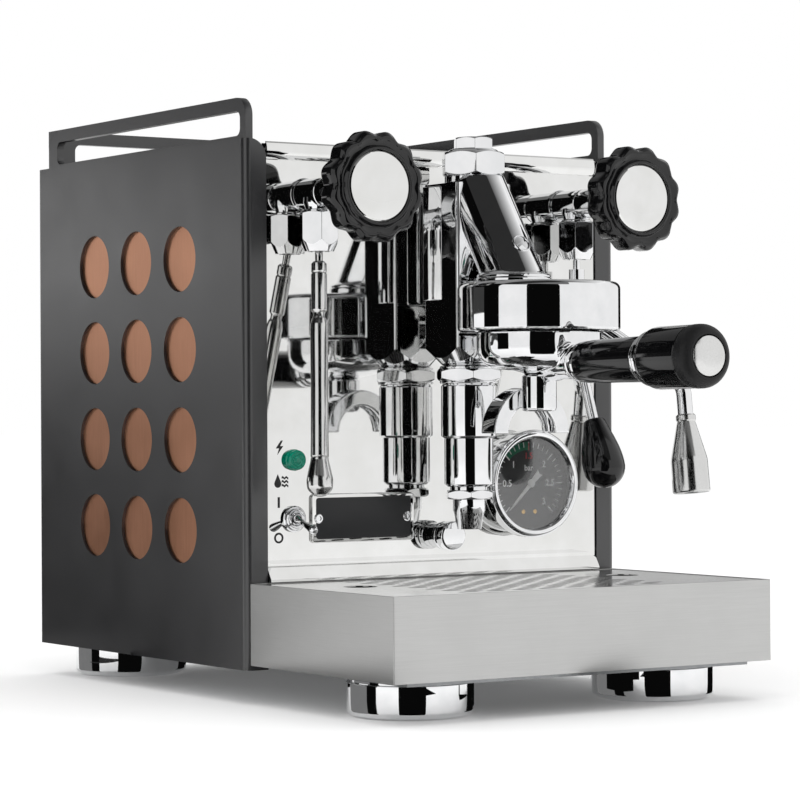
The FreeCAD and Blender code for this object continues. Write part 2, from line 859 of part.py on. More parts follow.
def cup_tray():
    """Lift-off top plate with a rim for cups and warm-air slots."""
    half = f"({RAIL_INNER} - lift_gap)"
    front = f"({FRONT_BACK} + lift_gap)"
    depth = f"({RAIL_REAR} - rail_plate - lift_gap - {front})"
    middle = f"({front} + {depth} / 2)"
    tall = "cup_top"
    shell = slab("cup_shell", half, depth, tall, front, "seat_height")
    below = slab("cup_below", f"{half} - cup_sheet", f"{depth} - 2 * cup_sheet",
                 f"{tall} - cup_recess - cup_sheet", f"{front} + cup_sheet", "seat_height")
    above = slab("cup_above", f"{half} - cup_rim", f"{depth} - 2 * cup_rim", "cup_recess",
                 f"{front} + cup_rim", f"{CUP_TOP} - cup_recess")
    band = slab("cup_band", FRONT_HALF, f"{front} - front_face", f"{CUP_TOP} - {BAND_FOOT}",
                "front_face", BAND_FOOT)
    slots = [box(f"cup_slot_{i}_{j}", ("cup_slot_width", "cup_slot_length", tall),
                 f"({i} - {CUP_SLOTS // 2}) * cup_slot_pitch - cup_slot_width / 2",
                 f"{middle} + ({j} - {CUP_SLOT_ROWS // 2}) * cup_slot_row - cup_slot_length / 2",
                 "seat_height")
             for i in range(CUP_SLOTS) for j in range(CUP_SLOT_ROWS)]
    blank = fuse("cup_blank", shell, band)
    return piece("cup_tray", cut("cup_tray", blank, below, above, *slots))


def rail_frame(name, plane, near_end, far_end, near_bar, far_bar, corners, x="0", y="0"):
    """Flat frame of one cup rail, as wide as its plate is thick."""
    plan = [(near_end, "seat_height"), (far_end, "seat_height"),
            (far_end, RAIL_TOP), (near_end, RAIL_TOP)]
    body = padded(name, plane, plan, "rail_plate", x, y)
    first = f"{near_end} + {near_bar}"
    last = f"{far_end} - {far_bar}"
    window = [(first, RAIL_SILL), (last, RAIL_SILL),
              (last, f"{RAIL_TOP} - rail_bar"), (first, f"{RAIL_TOP} - rail_bar")]
    pierce(body, outline(body, plane, window))

    def across(e):
        return near(e.Length, "rail_plate")

    def along(e):
        return e.CenterOfMass.x if plane == "XZ_Plane" else e.CenterOfMass.y

    def inside(e):
        return across(e) and any(near(along(e), end) for end in (first, last))

    def outside(e):
        return (across(e) and near(e.CenterOfMass.z, RAIL_TOP)
                and any(near(along(e), end) for end in (near_end, far_end)))

    rounded(body, "rail_inner_corner", inside)
    if corners:
        rounded(body, "rail_corner", outside)
    return body


def cup_rails():
    """Two side rails with bosses against the panels, and the rear rail between them."""
    made = []
    for side, sign in (("left", -1), ("right", 1)):
        x = f"-{RAIL_OUTER}" if sign < 0 else RAIL_INNER
        frame = rail_frame(side + "_rail", "YZ_Plane", "rail_front", RAIL_REAR,
                           "rail_front_bar", "rail_rear_bar", True, x=x)
        middle = f"(seat_height + {RAIL_SILL}) / 2"
        bosses = [rod(f"{side}_rail_boss_{i}", "rail_boss_radius", f"{WALL} - {RAIL_OUTER}",
                      f"{sign} * {RAIL_OUTER}", y, middle, side)
                  for i, y in enumerate(("rail_boss_end", f"{RAIL_REAR} - rail_boss_end"))]
        made.append(fuse(side + "_rail_whole", frame, *bosses))
    made.append(rail_frame("rear_rail", "XZ_Plane", f"-{RAIL_INNER}", RAIL_INNER,
                           "rail_rear_bar", "rail_rear_bar", False, y=RAIL_REAR))
    return piece("cup_rails", group("cup_rails", *made))


def feet():
    """Four turned feet with a rounded lower edge."""
    made = []
    profile = [("0", "0"), ("foot_radius", "0"), ("foot_radius", "base_foot"), ("0", "base_foot")]
    for i, y in enumerate(("front_foot_y", REAR_FOOT_Y)):
        for j, x in enumerate(("-foot_x", "foot_x")):
            body = turned(f"foot_{i}_{j}", profile, x, y)
            made.append(rounded(body, "foot_edge", ring_edge("0")))
    return piece("feet", group("feet", *made))


def drip_tray():
    """Folded tray that slides out over the base plate's nose."""
    depth = "(tray_front - tray_rear_gap)"
    half = "tray_width / 2"
    outer = slab("tray_outer", half, depth, f"tray_top - {TRAY_FOOT}", "-tray_front", TRAY_FOOT)
    inner = slab("tray_inner", f"{half} - tray_sheet", f"{depth} - 2 * tray_sheet", "tray_top",
                 "tray_sheet - tray_front", f"{TRAY_FOOT} + tray_sheet")
    size = ("ledge_width", f"{depth} - 2 * tray_sheet", "ledge_sheet")
    ledges = [box(f"ledge_{i}", size, x, "tray_sheet - tray_front", f"{LEDGE_TOP} - ledge_sheet")
              for i, x in enumerate((f"tray_sheet - {half}", f"{half} - tray_sheet - ledge_width"))]
    return piece("drip_tray", fuse("drip_tray", cut("tray_box", outer, inner), *ledges))


def grid_slot(body, name, x, y):
    """One round-ended slot of the grid, as a pocket through its body."""
    drawing = body.newObject("Sketcher::SketchObject", name)
    own = [f for f in body.Origin.OriginFeatures if f.Role == "XY_Plane"][0]
    drawing.AttachmentSupport = [(own, "")]
    drawing.MapMode = "FlatFace"
    half = value("(slot_length - slot_width) / 2")
    radius = value("slot_width / 2")
    cx, cy = value(x), value(y)
    up = FreeCAD.Vector(0, 0, 1)
    ends = [FreeCAD.Vector(cx - half, cy, 0), FreeCAD.Vector(cx + half, cy, 0)]
    left = Part.ArcOfCircle(Part.Circle(ends[0], up, radius), math.pi / 2, 3 * math.pi / 2)
    right = Part.ArcOfCircle(Part.Circle(ends[1], up, radius), -math.pi / 2, math.pi / 2)
    side = FreeCAD.Vector(0, radius, 0)
    low = Part.LineSegment(ends[0] - side, ends[1] - side)
    high = Part.LineSegment(ends[1] + side, ends[0] + side)
    drawing.addGeometry([left, low, right, high], False)
    for a, b in ((0, 1), (1, 2), (2, 3), (3, 0)):
        drawing.addConstraint(Sketcher.Constraint("Tangent", a, 2, b, 1))
    drawing.addConstraint(Sketcher.Constraint("Horizontal", 1))
    for text, kind, curve in ((f"{x} - (slot_length - slot_width) / 2", "DistanceX", 0),
                              (y, "DistanceY", 0),
                              (f"{x} + (slot_length - slot_width) / 2", "DistanceX", 2)):
        dim = drawing.addConstraint(Sketcher.Constraint(kind, -1, 1, curve, 3, value(text)))
        drawing.setExpression(f"Constraints[{dim}]", cells(text))
    dim = drawing.addConstraint(Sketcher.Constraint("Radius", 0, radius))
    drawing.setExpression(f"Constraints[{dim}]", cells("slot_width / 2"))
    return pierce(body, drawing)


def repeat(body, feature, steps):
    """Repeat a pocket along the body's X and Y axes."""
    many = body.newObject("PartDesign::MultiTransform", feature.Name + "_field")
    many.Originals = [feature]
    rows = []
    for role, pitch, count in steps:
        row = body.newObject("PartDesign::LinearPattern", feature.Name + role)
        row.Direction = ([f for f in body.Origin.OriginFeatures if f.Role == role][0], [""])
        tie(row, Length=f"{pitch} * {count - 1}")
        row.Occurrences = count
        rows.append(row)
    many.Transformations = rows
    body.Tip = many
    return many


def drip_grid():
    """Lift-out grid with two staggered fields of slots and two finger holes."""
    half = "(tray_width / 2 - tray_sheet - lift_gap)"
    front = "(tray_front - tray_sheet - lift_gap)"
    plan = [(f"-{half}", f"-{front}"), (half, f"-{front}"),
            (half, "-grid_rear"), (f"-{half}", "-grid_rear")]
    body = padded("drip_grid", "XY_Plane", plan, "grid_sheet", z=LEDGE_TOP)
    pierce(body, circles(body, "XY_Plane", [("-finger_x", "-finger_y"), ("finger_x", "-finger_y")],
                         "finger_radius"))
    for i in range(2):
        slot = grid_slot(body, f"grid_slot_{i}", f"-grid_field_half + {i} * slot_pitch_x / 2",
                         f"-grid_field_front + {i} * slot_pitch_y / 2")
        doc.recompute()
        repeat(body, slot, (("X_Axis", "slot_pitch_x", GRID_COLUMNS),
                            ("Y_Axis", "slot_pitch_y", GRID_ROWS)))
        doc.recompute()
    return piece("drip_grid", body)


def bevelled_nut(name, across, length, x="0", y="0", z="0", toward="up"):
    """Hexagon with its far corners bevelled round."""
    corner = f"({across}) / 2 / cos(30)"
    bar = hexagon(name + "_bar", across, length, x, y, z, toward)
    profile = [("0", "0"), (corner, "0"), (corner, f"{length} - nut_bevel"),
               (f"{corner} - nut_bevel", length), ("0", length)]
    return overlap(name, bar, turned(name + "_bevel", profile, x, y, z, toward))


def neck_angle():
    """Lean of the group's neck from upright, as an expression."""
    return "atan2(neck_top_y - neck_foot_y; neck_top_z - neck_foot_z)"


def group_body():
    """Casting with its chamber, slanting neck, bell and cam boss."""
    height = "(chamber_top - chamber_foot)"
    block = box("chamber_block", ("2 * chamber_half", "chamber_front - chamber_back", height),
                "-chamber_half", "-chamber_front", "chamber_foot")
    chamber = soften("chamber", block, "chamber_edge", lambda e: near(e.Length, height))
    foot = cone("chamber_cone", "collar_across / 2 - nut_bevel", "chamber_half",
                "chamber_foot - collar_top", "0", "column_y", "collar_top")
    rear = slab("rear_neck", "rear_neck_half", f"{FRONT_BACK} + chamber_back + chamber_edge",
                f"{REAR_NECK_TOP} - rear_neck_foot", "-chamber_back - chamber_edge", "rear_neck_foot")
    seat = rod("cap_seat_boss", "cap_seat_radius", "cap_hex_foot - chamber_top + chamber_edge",
               "0", "cap_y", "chamber_top - chamber_edge")
    run = "sqrt((neck_top_y - neck_foot_y) ^ 2 + (neck_top_z - neck_foot_z) ^ 2)"
    neck = tie(doc.addObject("Part::Cylinder", "neck"), Radius="neck_radius", Height=f"{run} + neck_root")
    turn(neck, (-1, 0, 0), neck_angle())
    base(neck, "0", f"neck_foot_y - neck_root * sin({neck_angle()})",
         f"neck_foot_z - neck_root * cos({neck_angle()})")
    crown = ball("neck_crown", "neck_radius", "0", "neck_top_y", "neck_top_z - neck_radius / 2")
    cap = slab("crown_trim", "neck_radius + ring_radius", "chamber_front * 2", "chamber_front",
               "-chamber_front * 2", "cap_hex_foot")
    ring = rod("neck_ring", "ring_radius", "ring_top - bell_top + bell_edge",
               "0", "neck_foot_y", "bell_top - bell_edge")
    boss = rod("cam_boss", "cam_boss_radius", "cam_boss_end", "0", "column_y", "cam_z", "right")
    bell = turned("bell", [("0", "bell_foot"), ("bell_radius", "bell_foot"),
                           ("bell_radius", "bell_top"), ("0", "bell_top")], "0", "bell_y")
    rounded(bell, "bell_edge", ring_edge("bell_top"))
    web = box("bell_web", ("chamber_half", "chamber_front + chamber_half / 2", "chamber_half"),
              "-chamber_half / 2", "bell_y + bell_mouth / 2", "bell_roof + nut_bevel - chamber_half / 2")
    groove = "(ear_reach + ear_gap)"
    lip = "bell_foot + bell_lip"
    seal = "gasket_outer + turn_gap"
    room = turned("bell_room", [("0", "bell_foot"), ("bell_mouth", "bell_foot"), ("bell_mouth", lip),
                                (groove, lip), (groove, "gasket_foot"), (seal, "gasket_foot"),
                                (seal, "bell_roof"), ("0", "bell_roof")], "0", "bell_y")
    entry = put_entry(box("bell_entry", ("2 * (ear_reach + lift_gap)", "entry_width", "bell_lip")))
    limit = rod("bell_entry_limit", groove, "bell_lip", "0", "bell_y", "bell_foot")
    slot = overlap("bell_entry_round", entry, limit)
    bore = rod("cam_bore", "cam_shaft_radius + turn_gap", "cam_boss_end * 2",
               "-cam_boss_end / 3", "column_y", "cam_z", "right")
    plug = plug_rod("neck_plug_hole", "neck_plug_radius + turn_gap", "neck_plug_sink")
    arm = cut("neck_arm", fuse("neck_whole", neck, crown), cap)
    solid = fuse("group_solid", chamber, foot, rear, seat, arm, ring, boss, bell, web)
    return piece("group_body", cut("group_body", solid, room, slot, bore, plug))


def put_entry(entry):
    """Set the bayonet's entry slot across the bell at its turn from the locked place."""
    entry.Placement.Rotation = FreeCAD.Rotation(FreeCAD.Vector(0, 0, 1), value("entry_turn"))
    reach = "(ear_reach + lift_gap)"
    x = f"-{reach} * cos(entry_turn) + entry_width / 2 * sin(entry_turn)"
    y = f"bell_y - {reach} * sin(entry_turn) - entry_width / 2 * cos(entry_turn)"
    return base(entry, x, y, "bell_foot")


def plug_rod(name, radius, length):
    """Cylinder square to the neck's front, from the foot of the plug's hole."""
    lean = neck_angle()
    obj = tie(doc.addObject("Part::Cylinder", name), Radius=radius, Height=length)
    turn(obj, (1, 0, 0), f"90 deg - {lean}")
    out = "(neck_radius - neck_plug_sink)"
    y = f"neck_foot_y + neck_plug_along * sin({lean}) - {out} * cos({lean})"
    z = f"neck_foot_z + neck_plug_along * cos({lean}) + {out} * sin({lean})"
    return base(obj, "0", y, z)


def group_nuts():
    """Cap nut, plugs and the lower column with its drain nozzle."""
    hexed = bevelled_nut("cap_hex", "cap_across", "cap_hex_top - cap_hex_foot",
                         "0", "cap_y", "cap_hex_foot")
    dome = cone("cap_dome", "cap_dome_radius + nut_bevel", "cap_dome_radius", "cap_dome_top - cap_hex_top",
                "0", "cap_y", "cap_hex_top")
    piece("mushroom_nut", fuse("mushroom_nut", hexed, dome))
    jet = bevelled_nut("jet_plug", "jet_across", "jet_top - cap_dome_top", "0", "cap_y", "cap_dome_top")
    head = plug_rod("neck_plug", "neck_plug_radius", "neck_plug_sink + neck_plug_head")
    piece("group_plugs", group("group_plugs", jet, head))
    collar = bevelled_nut("collar", "collar_across", "collar_top - collar_foot",
                          "0", "column_y", "collar_foot")
    lower = turned("column", [
        ("0", "column_foot"), ("column_neck_radius", "column_foot"),
        ("column_neck_radius", "lower_tube_foot"), ("lower_tube_radius", "lower_tube_foot"),
        ("lower_tube_radius", "lower_tube_top"), ("tube_groove_radius", "lower_tube_top"),
        ("tube_groove_radius", "upper_tube_foot"), ("upper_tube_radius", "upper_tube_foot"),
        ("upper_tube_radius", "collar_foot"), ("0", "collar_foot")], "0", "column_y")
    piece("infusion_chamber", fuse("infusion_chamber", collar, lower))
    nut = hexagon("drain_nut", "drain_across", "column_foot - drain_nut_foot",
                  "0", "column_y", "drain_nut_foot")
    spigot = cone("drain_cone", "nozzle_foot_radius", "nozzle_top_radius", "drain_nut_foot - nozzle_foot",
                  "0", "column_y", "nozzle_foot")
    bore = rod("drain_bore", "nozzle_bore", "drain_nut_foot - nozzle_foot", "0", "column_y", "nozzle_foot")
    piece("drain_nozzle", cut("drain_nozzle", fuse("drain_solid", nut, spigot), bore))


def brew_lever():
    """Bush, cam shaft with its rod, and the drop-shaped knob."""
    seat = ("cam_boss_end", "column_y", "cam_z", "right")
    nut = bevelled_nut("bush_nut", "bush_across", "bush_end - cam_boss_end", *seat)
    bore = rod("bush_bore", "cam_shaft_radius + turn_gap", "bush_end", *seat)
    piece("cam_bush", cut("cam_bush", nut, bore))
    shaft = rod("cam_shaft", "cam_shaft_radius", "lever_x", "0", "column_y", "cam_z", "right")
    hub = rod("lever_hub", "lever_hub_radius", "lever_hub_length", "lever_x - lever_hub_length / 2",
              "column_y", "cam_z", "right")
    hub = soften("lever_hub_round", hub, "nut_bevel", is_round)
    arm = leaning_rod("lever_rod", "lever_rod_radius", "lever_rod_end", "0")
    piece("lever_shaft", fuse("lever_shaft", shaft, hub, arm))
    taper = "lever_knob_length - lever_knob_radius"
    drop = tie(doc.addObject("Part::Cone", "knob_taper"), Radius1="lever_knob_neck",
               Radius2="lever_knob_radius", Height=taper)
    lean_lever(drop, "lever_knob_start")
    end = lean_lever(tie(doc.addObject("Part::Sphere", "knob_end"), Radius="lever_knob_radius"),
                     f"lever_knob_start + {taper}")
    socket = leaning_rod("knob_socket", "lever_rod_radius + turn_gap",
                         "lever_rod_end - lever_knob_start + lift_gap", "lever_knob_start")
    drop_solid = soften("knob_solid", fuse("knob_drop", drop, end), "nut_bevel",
                        lambda e: is_round(e, "lever_knob_neck"))
    piece("lever_knob", cut("lever_knob", drop_solid, socket))


def lean_lever(obj, along):
    """Set an object on the lever's line, pointing away from the cam."""
    turn(obj, (1, 0, 0), "180 - lever_lean")
    return base(obj, "lever_x", f"column_y - ({along}) * sin(lever_lean)",
                f"cam_z - ({along}) * cos(lever_lean)")


def leaning_rod(name, radius, length, along):
    """Cylinder on the lever's line."""
    return lean_lever(tie(doc.addObject("Part::Cylinder", name), Radius=radius, Height=length), along)


def group_seal():
    """Rubber gasket and the shower screen under the bell's roof."""
    piece("group_gasket", turned("group_gasket", [
        ("gasket_inner", "gasket_foot"), ("gasket_outer", "gasket_foot"),
        ("gasket_outer", "bell_roof"), ("gasket_inner", "bell_roof")], "0", "bell_y"))
    piece("shower_screen", turned("shower_screen", [
        ("0", "screen_foot"), ("screen_radius", "screen_foot"), ("screen_radius", "bell_roof"),
        ("0", "bell_roof")], "0", "bell_y"))


def handle_part(name, profile):
    """Turned piece on the handle's line, by radius and distance from the bowl's edge."""
    body = turned(name, profile)
    turn(body, (1, 0, 0), "90 - handle_rise")
    return base(body, "0", "bell_y", "handle_z")


def portafilter():
    """Bowl with ears and lug, basket, double spout and handle."""
    bowl = turned("bowl", [("0", "bowl_foot"), ("bowl_radius", "bowl_foot"), ("bowl_radius", "bowl_top"),
                           ("rim_radius", "bowl_top"), ("rim_radius", "rim_top"), ("0", "rim_top")],
                  "0", "bell_y")
    rounded(bowl, "bowl_edge", ring_edge("bowl_foot"))
    ears = slab("ears", "ear_reach", "ear_width", "ear_height", "bell_y - ear_width / 2", "ear_foot")
    ring = rod("ear_limit", "ear_reach", "ear_height", "0", "bell_y", "ear_foot")
    lug = handle_part("handle_lug", [("0", "lug_start"), ("lug_radius", "lug_start"),
                                     ("lug_radius", "ferrule_start"), ("0", "ferrule_start")])
    stud = handle_part("handle_stud", [("0", "lug_start"), ("spigot_radius", "lug_start"),
                                       ("spigot_radius", "grip_end"), ("0", "grip_end")])
    below = ("bowl_floor - spout_nut_top", "0", "bell_y", "spout_nut_top")
    boss = rod("spout_boss", "spout_neck_radius", *below)
    room = rod("bowl_room", "basket_radius + lift_gap", "rim_top - bowl_floor", "0", "bell_y", "bowl_floor")
    drain = rod("bowl_drain", "nozzle_bore", *below)
    solid = fuse("bowl_solid", bowl, overlap("ears_round", ears, ring), lug, stud, boss)
    piece("portafilter_body", cut("portafilter_body", solid, room, drain))
    inner = "(basket_radius - basket_wall)"
    piece("filter_basket", turned("filter_basket", [
        ("0", "basket_foot"), ("basket_radius", "basket_foot"), ("basket_radius", "rim_top"),
        ("basket_flange", "rim_top"), ("basket_flange", "rim_top + basket_wall"),
        (inner, "rim_top + basket_wall"), (inner, "basket_foot + basket_wall"),
        ("0", "basket_foot + basket_wall")], "0", "bell_y"))
    piece("portafilter_spout", spout())
    handle()


def spout():
    """Hub with an arched double channel behind it."""
    hub = rod("spout_hub", "spout_radius", "spout_nut_top - spout_foot", "0", "bell_y", "spout_foot")
    hub = soften("spout_hub_round", hub, "nut_bevel / 2", is_round)
    start = "bell_y + arch_setback + arch_depth / 2"
    outer = rod("arch_outer_rod", "arch_outer", "arch_depth", "0", start, "arch_base", "front")
    inner = rod("arch_inner_rod", "arch_inner", "arch_depth", "0", start, "arch_base", "front")
    groove = rod("arch_groove", "arch_inner + channel_depth", "channel_width", "0",
                 "bell_y + arch_setback + channel_width / 2", "arch_base", "front")
    lower = slab("arch_lower", "2 * arch_outer", "2 * arch_depth", "2 * arch_outer",
                 "bell_y + arch_setback - arch_depth", "arch_base - 2 * arch_outer")
    arch = cut("arch", outer, inner, groove, lower)
    return fuse("portafilter_spout", hub, arch)


def handle():
    """Ferrule, grip, ring, thick front grip, end collar and end dome."""
    bore = "(spigot_radius + turn_gap)"
    grip = handle_part("handle_grip", [(bore, "ferrule_end"), ("grip_radius", "ferrule_end"),
                                       ("grip_radius", "grip_end"), (bore, "grip_end")])
    piece("handle_grip", grip)
    front = handle_part("handle_front", [("0", "ring_end"), ("front_grip_radius - nut_bevel", "ring_end"),
                                         ("front_grip_radius", "ring_end + nut_bevel"),
                                         ("front_grip_radius", "front_grip_end"), ("0", "front_grip_end")])
    piece("handle_front", front)
    seat = "(end_collar_end - dome_rise)"
    end = handle_part("handle_end_collar", [
        ("0", "front_grip_end"), ("front_grip_radius", "front_grip_end"),
        ("front_grip_radius", "end_collar_end"), ("dome_radius", "end_collar_end"),
        ("dome_radius", seat), ("0", seat)])
    rim = ring_edge("end_collar_end", "front_grip_radius")
    piece("handle_end_collar", rounded(end, "end_collar_edge", rim))
    ferrule = handle_part("handle_ferrule", [(bore, "ferrule_start"), ("ferrule_radius", "ferrule_start"),
                                             ("grip_radius", "ferrule_end"), (bore, "ferrule_end")])
    ring = handle_part("handle_ring", [("0", "grip_end"), ("grip_radius", "grip_end"),
                                       ("ring_radius_handle", "grip_end + nut_bevel"),
                                       ("ring_radius_handle", "ring_end"), ("0", "ring_end")])
    inset = "(dome_radius - turn_gap)"
    dome = handle_part("handle_dome", [("0", seat), (inset, seat), (inset, "end_collar_end"),
                                       ("dome_radius - dome_rise", "end_collar_end + dome_rise / 2"),
                                       ("0", "end_collar_end + dome_rise / 2")])
    piece("handle_trim", group("handle_trim", ferrule, ring, dome))


def valve_body(side, sign):
    """Valve tube with its tail through the front and its outlet below."""
    x = f"{sign} * valve_x"
    body = turned(side + "_valve_tube", [
        ("0", "-valve_tail_end"), ("valve_tail_radius", "-valve_tail_end"),
        ("valve_tail_radius", "-front_face"), ("valve_radius", "-front_face"),
        ("valve_radius", "valve_end"), ("0", "valve_end")], x, "0", VALVE_Z, "front")
    outlet = rod(side + "_outlet", "outlet_radius", f"{VALVE_Z} - {NUT_TOP}", x, "outlet_y", NUT_TOP)
    bore = rod(side + "_stem_bore", "stem_radius + turn_gap", "valve_end",
               x, "-valve_end", VALVE_Z, "back")
    return cut(side + "_valve_body", fuse(side + "_valve_solid", body, outlet), bore)


def bonnet_nut(side, sign):
    """Nut at the front of a valve that the stem passes through."""
    x = f"{sign} * valve_x"
    seat = (x, "-valve_end", VALVE_Z, "front")
    nut = bevelled_nut(side + "_bonnet", "bonnet_across", "bonnet_end - valve_end", *seat)
    bore = rod(side + "_bonnet_bore", "stem_radius + turn_gap", "bonnet_end", *seat)
    return cut(side + "_bonnet_nut", nut, bore)


def outlet_nut(side, sign):
    """Nut under a valve with a seat for the wand's ball and a tapered foot."""
    x = f"{sign} * valve_x"
    bar = hexagon(side + "_nut_bar", "nut_across", f"{NUT_TOP} - {NUT_FOOT}", x, "outlet_y", NUT_FOOT)
    corner = "(nut_across / 2 / cos(30))"
    shape = turned(side + "_nut_shape", [
        ("0", NUT_FOOT), ("nut_taper_radius", NUT_FOOT), (corner, f"{NUT_FOOT} + nut_taper"),
        (corner, f"{NUT_TOP} - nut_bevel / 2"), (f"{corner} - nut_bevel / 2", NUT_TOP),
        ("0", NUT_TOP)], x, "outlet_y")
    bore = "ball_radius + ball_gap"
    roof = f"{BALL_Z} + ball_radius + ball_gap"
    room = turned(side + "_nut_room", [
        ("0", NUT_FOOT), ("nut_mouth", NUT_FOOT), ("nut_mouth", NUT_SEAT), (bore, NUT_SEAT),
        (bore, roof), ("0", roof)], x, "outlet_y")
    return cut(side + "_outlet_nut", overlap(side + "_nut_solid", bar, shape), room)


def knob(side, sign):
    """Stem, lobed knob and its bright cap."""
    x = f"{sign} * valve_x"
    seat = "(knob_front - knob_cap_sink)"
    inner = "outlet_radius - outlet_y"
    outer = "knob_back + knob_socket"
    grip = "stem_radius + turn_gap / 2"
    stem = turned(side + "_stem", [("0", inner), ("stem_radius", inner), ("stem_radius", outer),
                                   ("0", outer)], x, "0", VALVE_Z, "front")
    piece(side + "_stem", stem)
    body = turned(side + "_knob", [
        (grip, "knob_back"), ("knob_hub", "knob_back"),
        ("knob_hub", "knob_back + knob_hub_length"), ("knob_radius", "knob_back + knob_hub_length"),
        ("knob_radius", "knob_front"), ("knob_cap_radius + turn_gap", "knob_front"),
        ("knob_cap_radius + turn_gap", seat), ("0", seat), ("0", outer), (grip, outer)],
                  x, "0", VALVE_Z, "front")
    rounded(body, "knob_edge", ring_edge("knob_front", "knob_radius"))
    rounded(body, "knob_edge / 2", ring_edge("knob_back + knob_hub_length", "knob_radius"))
    spot = [("knob_radius + scallop_radius - scallop_sink", "0")]
    notch = pierce(body, circles(body, "XY_Plane", spot, "scallop_radius"))
    doc.recompute()
    lobes = body.newObject("PartDesign::PolarPattern", side + "_lobes")
    lobes.Originals = [notch]
    lobes.Axis = ([f for f in body.Origin.OriginFeatures if f.Role == "Z_Axis"][0], [""])
    lobes.Angle = 360
    lobes.Occurrences = KNOB_LOBES
    body.Tip = lobes
    piece(side + "_knob", body)
    cap = turned(side + "_knob_cap", [
        ("0", seat), ("knob_cap_radius", seat), ("knob_cap_radius", "knob_front"),
        ("knob_cap_radius - knob_cap_rise", "knob_front + knob_cap_rise"),
        ("0", "knob_front + knob_cap_rise")], x, "0", VALVE_Z, "front")
    piece(side + "_knob_cap", cap)


def lean_wand(obj, along="0"):
    """Set an object on the steam wand's line, pointing away from its ball."""
    way = FreeCAD.Vector(*[value(step) for step in WAND_STEPS])
    obj.Placement.Rotation = FreeCAD.Rotation(FreeCAD.Vector(0, 0, 1), way)
    starts = ("-valve_x", "outlet_y", BALL_Z)
    spots = [f"{start} + ({along}) * {step} / {WAND_RUN}" for start, step in zip(starts, WAND_STEPS)]
    return base(obj, *spots)


def steam_wand():
    """Straight wand on a ball, with a drop-shaped tip."""
    pivot = ball("steam_ball", "ball_radius", "-valve_x", "outlet_y", BALL_Z)
    bar = turned("steam_bar", [
        ("0", "0"), ("wand_neck", "0"), ("wand_neck", "wand_start"), ("upper_wand_radius", "wand_start"),
        ("upper_wand_radius", "upper_wand_end"), ("wand_joint_radius", "upper_wand_end"),
        ("wand_joint_radius", "sleeve_start"), ("sleeve_radius", "sleeve_start"),
        ("sleeve_radius", "sleeve_end"), ("0", "sleeve_end")])
    for height in ("wand_start", "upper_wand_end", "sleeve_start"):
        radius = "sleeve_radius" if height == "sleeve_start" else "upper_wand_radius"
        rounded(bar, "nut_bevel / 2", ring_edge(height, radius))
    piece("steam_wand", fuse("steam_wand", pivot, lean_wand(bar)))
    length = f"({WAND_RUN} - sleeve_end)"
    tip = turned("steam_tip", [("0", "0"), ("sleeve_radius", "0"), ("steam_tip_radius", "tip_swell"),
                               ("steam_tip_radius", "tip_band"), ("tip_nose_radius", length), ("0", length)])
    piece("steam_tip", lean_wand(tip, "sleeve_end"))


def water_wand():
    """Bent wand on a ball, with a flared tip."""
    pivot = ball("water_ball", "ball_radius", "valve_x", "outlet_y", BALL_Z)
    neck = rod("water_neck", "wand_neck", "wand_start", "valve_x", "outlet_y", BALL_Z, "down")
    run = tube("water_run", "water_tube_radius", [
        ("valve_x", "outlet_y", f"{BALL_Z} - wand_start"), ("valve_x", "outlet_y", WATER_KNEE_Z),
        ("water_drop_x", "water_drop_y", WATER_DROP_Z),
        ("water_drop_x", "water_end_y", WATER_END_Z)], "water_bend")
    piece("water_wand", fuse("water_wand", pivot, neck, run))
    tip = turned("water_tip", [
        ("0", "0"), ("water_collar_radius", "0"), ("water_collar_radius", "water_collar"),
        ("water_tip_radius", "water_collar + water_cone"), ("water_tip_radius", "water_tip_length"),
        ("0", "water_tip_length")])
    way = FreeCAD.Vector(0, value("water_end_y - water_drop_y"), value("water_drop_z - water_end_z"))
    tip.Placement.Rotation = FreeCAD.Rotation(FreeCAD.Vector(0, 0, 1), way)
    piece("water_tip", base(tip, "water_drop_x", "water_end_y", WATER_END_Z))


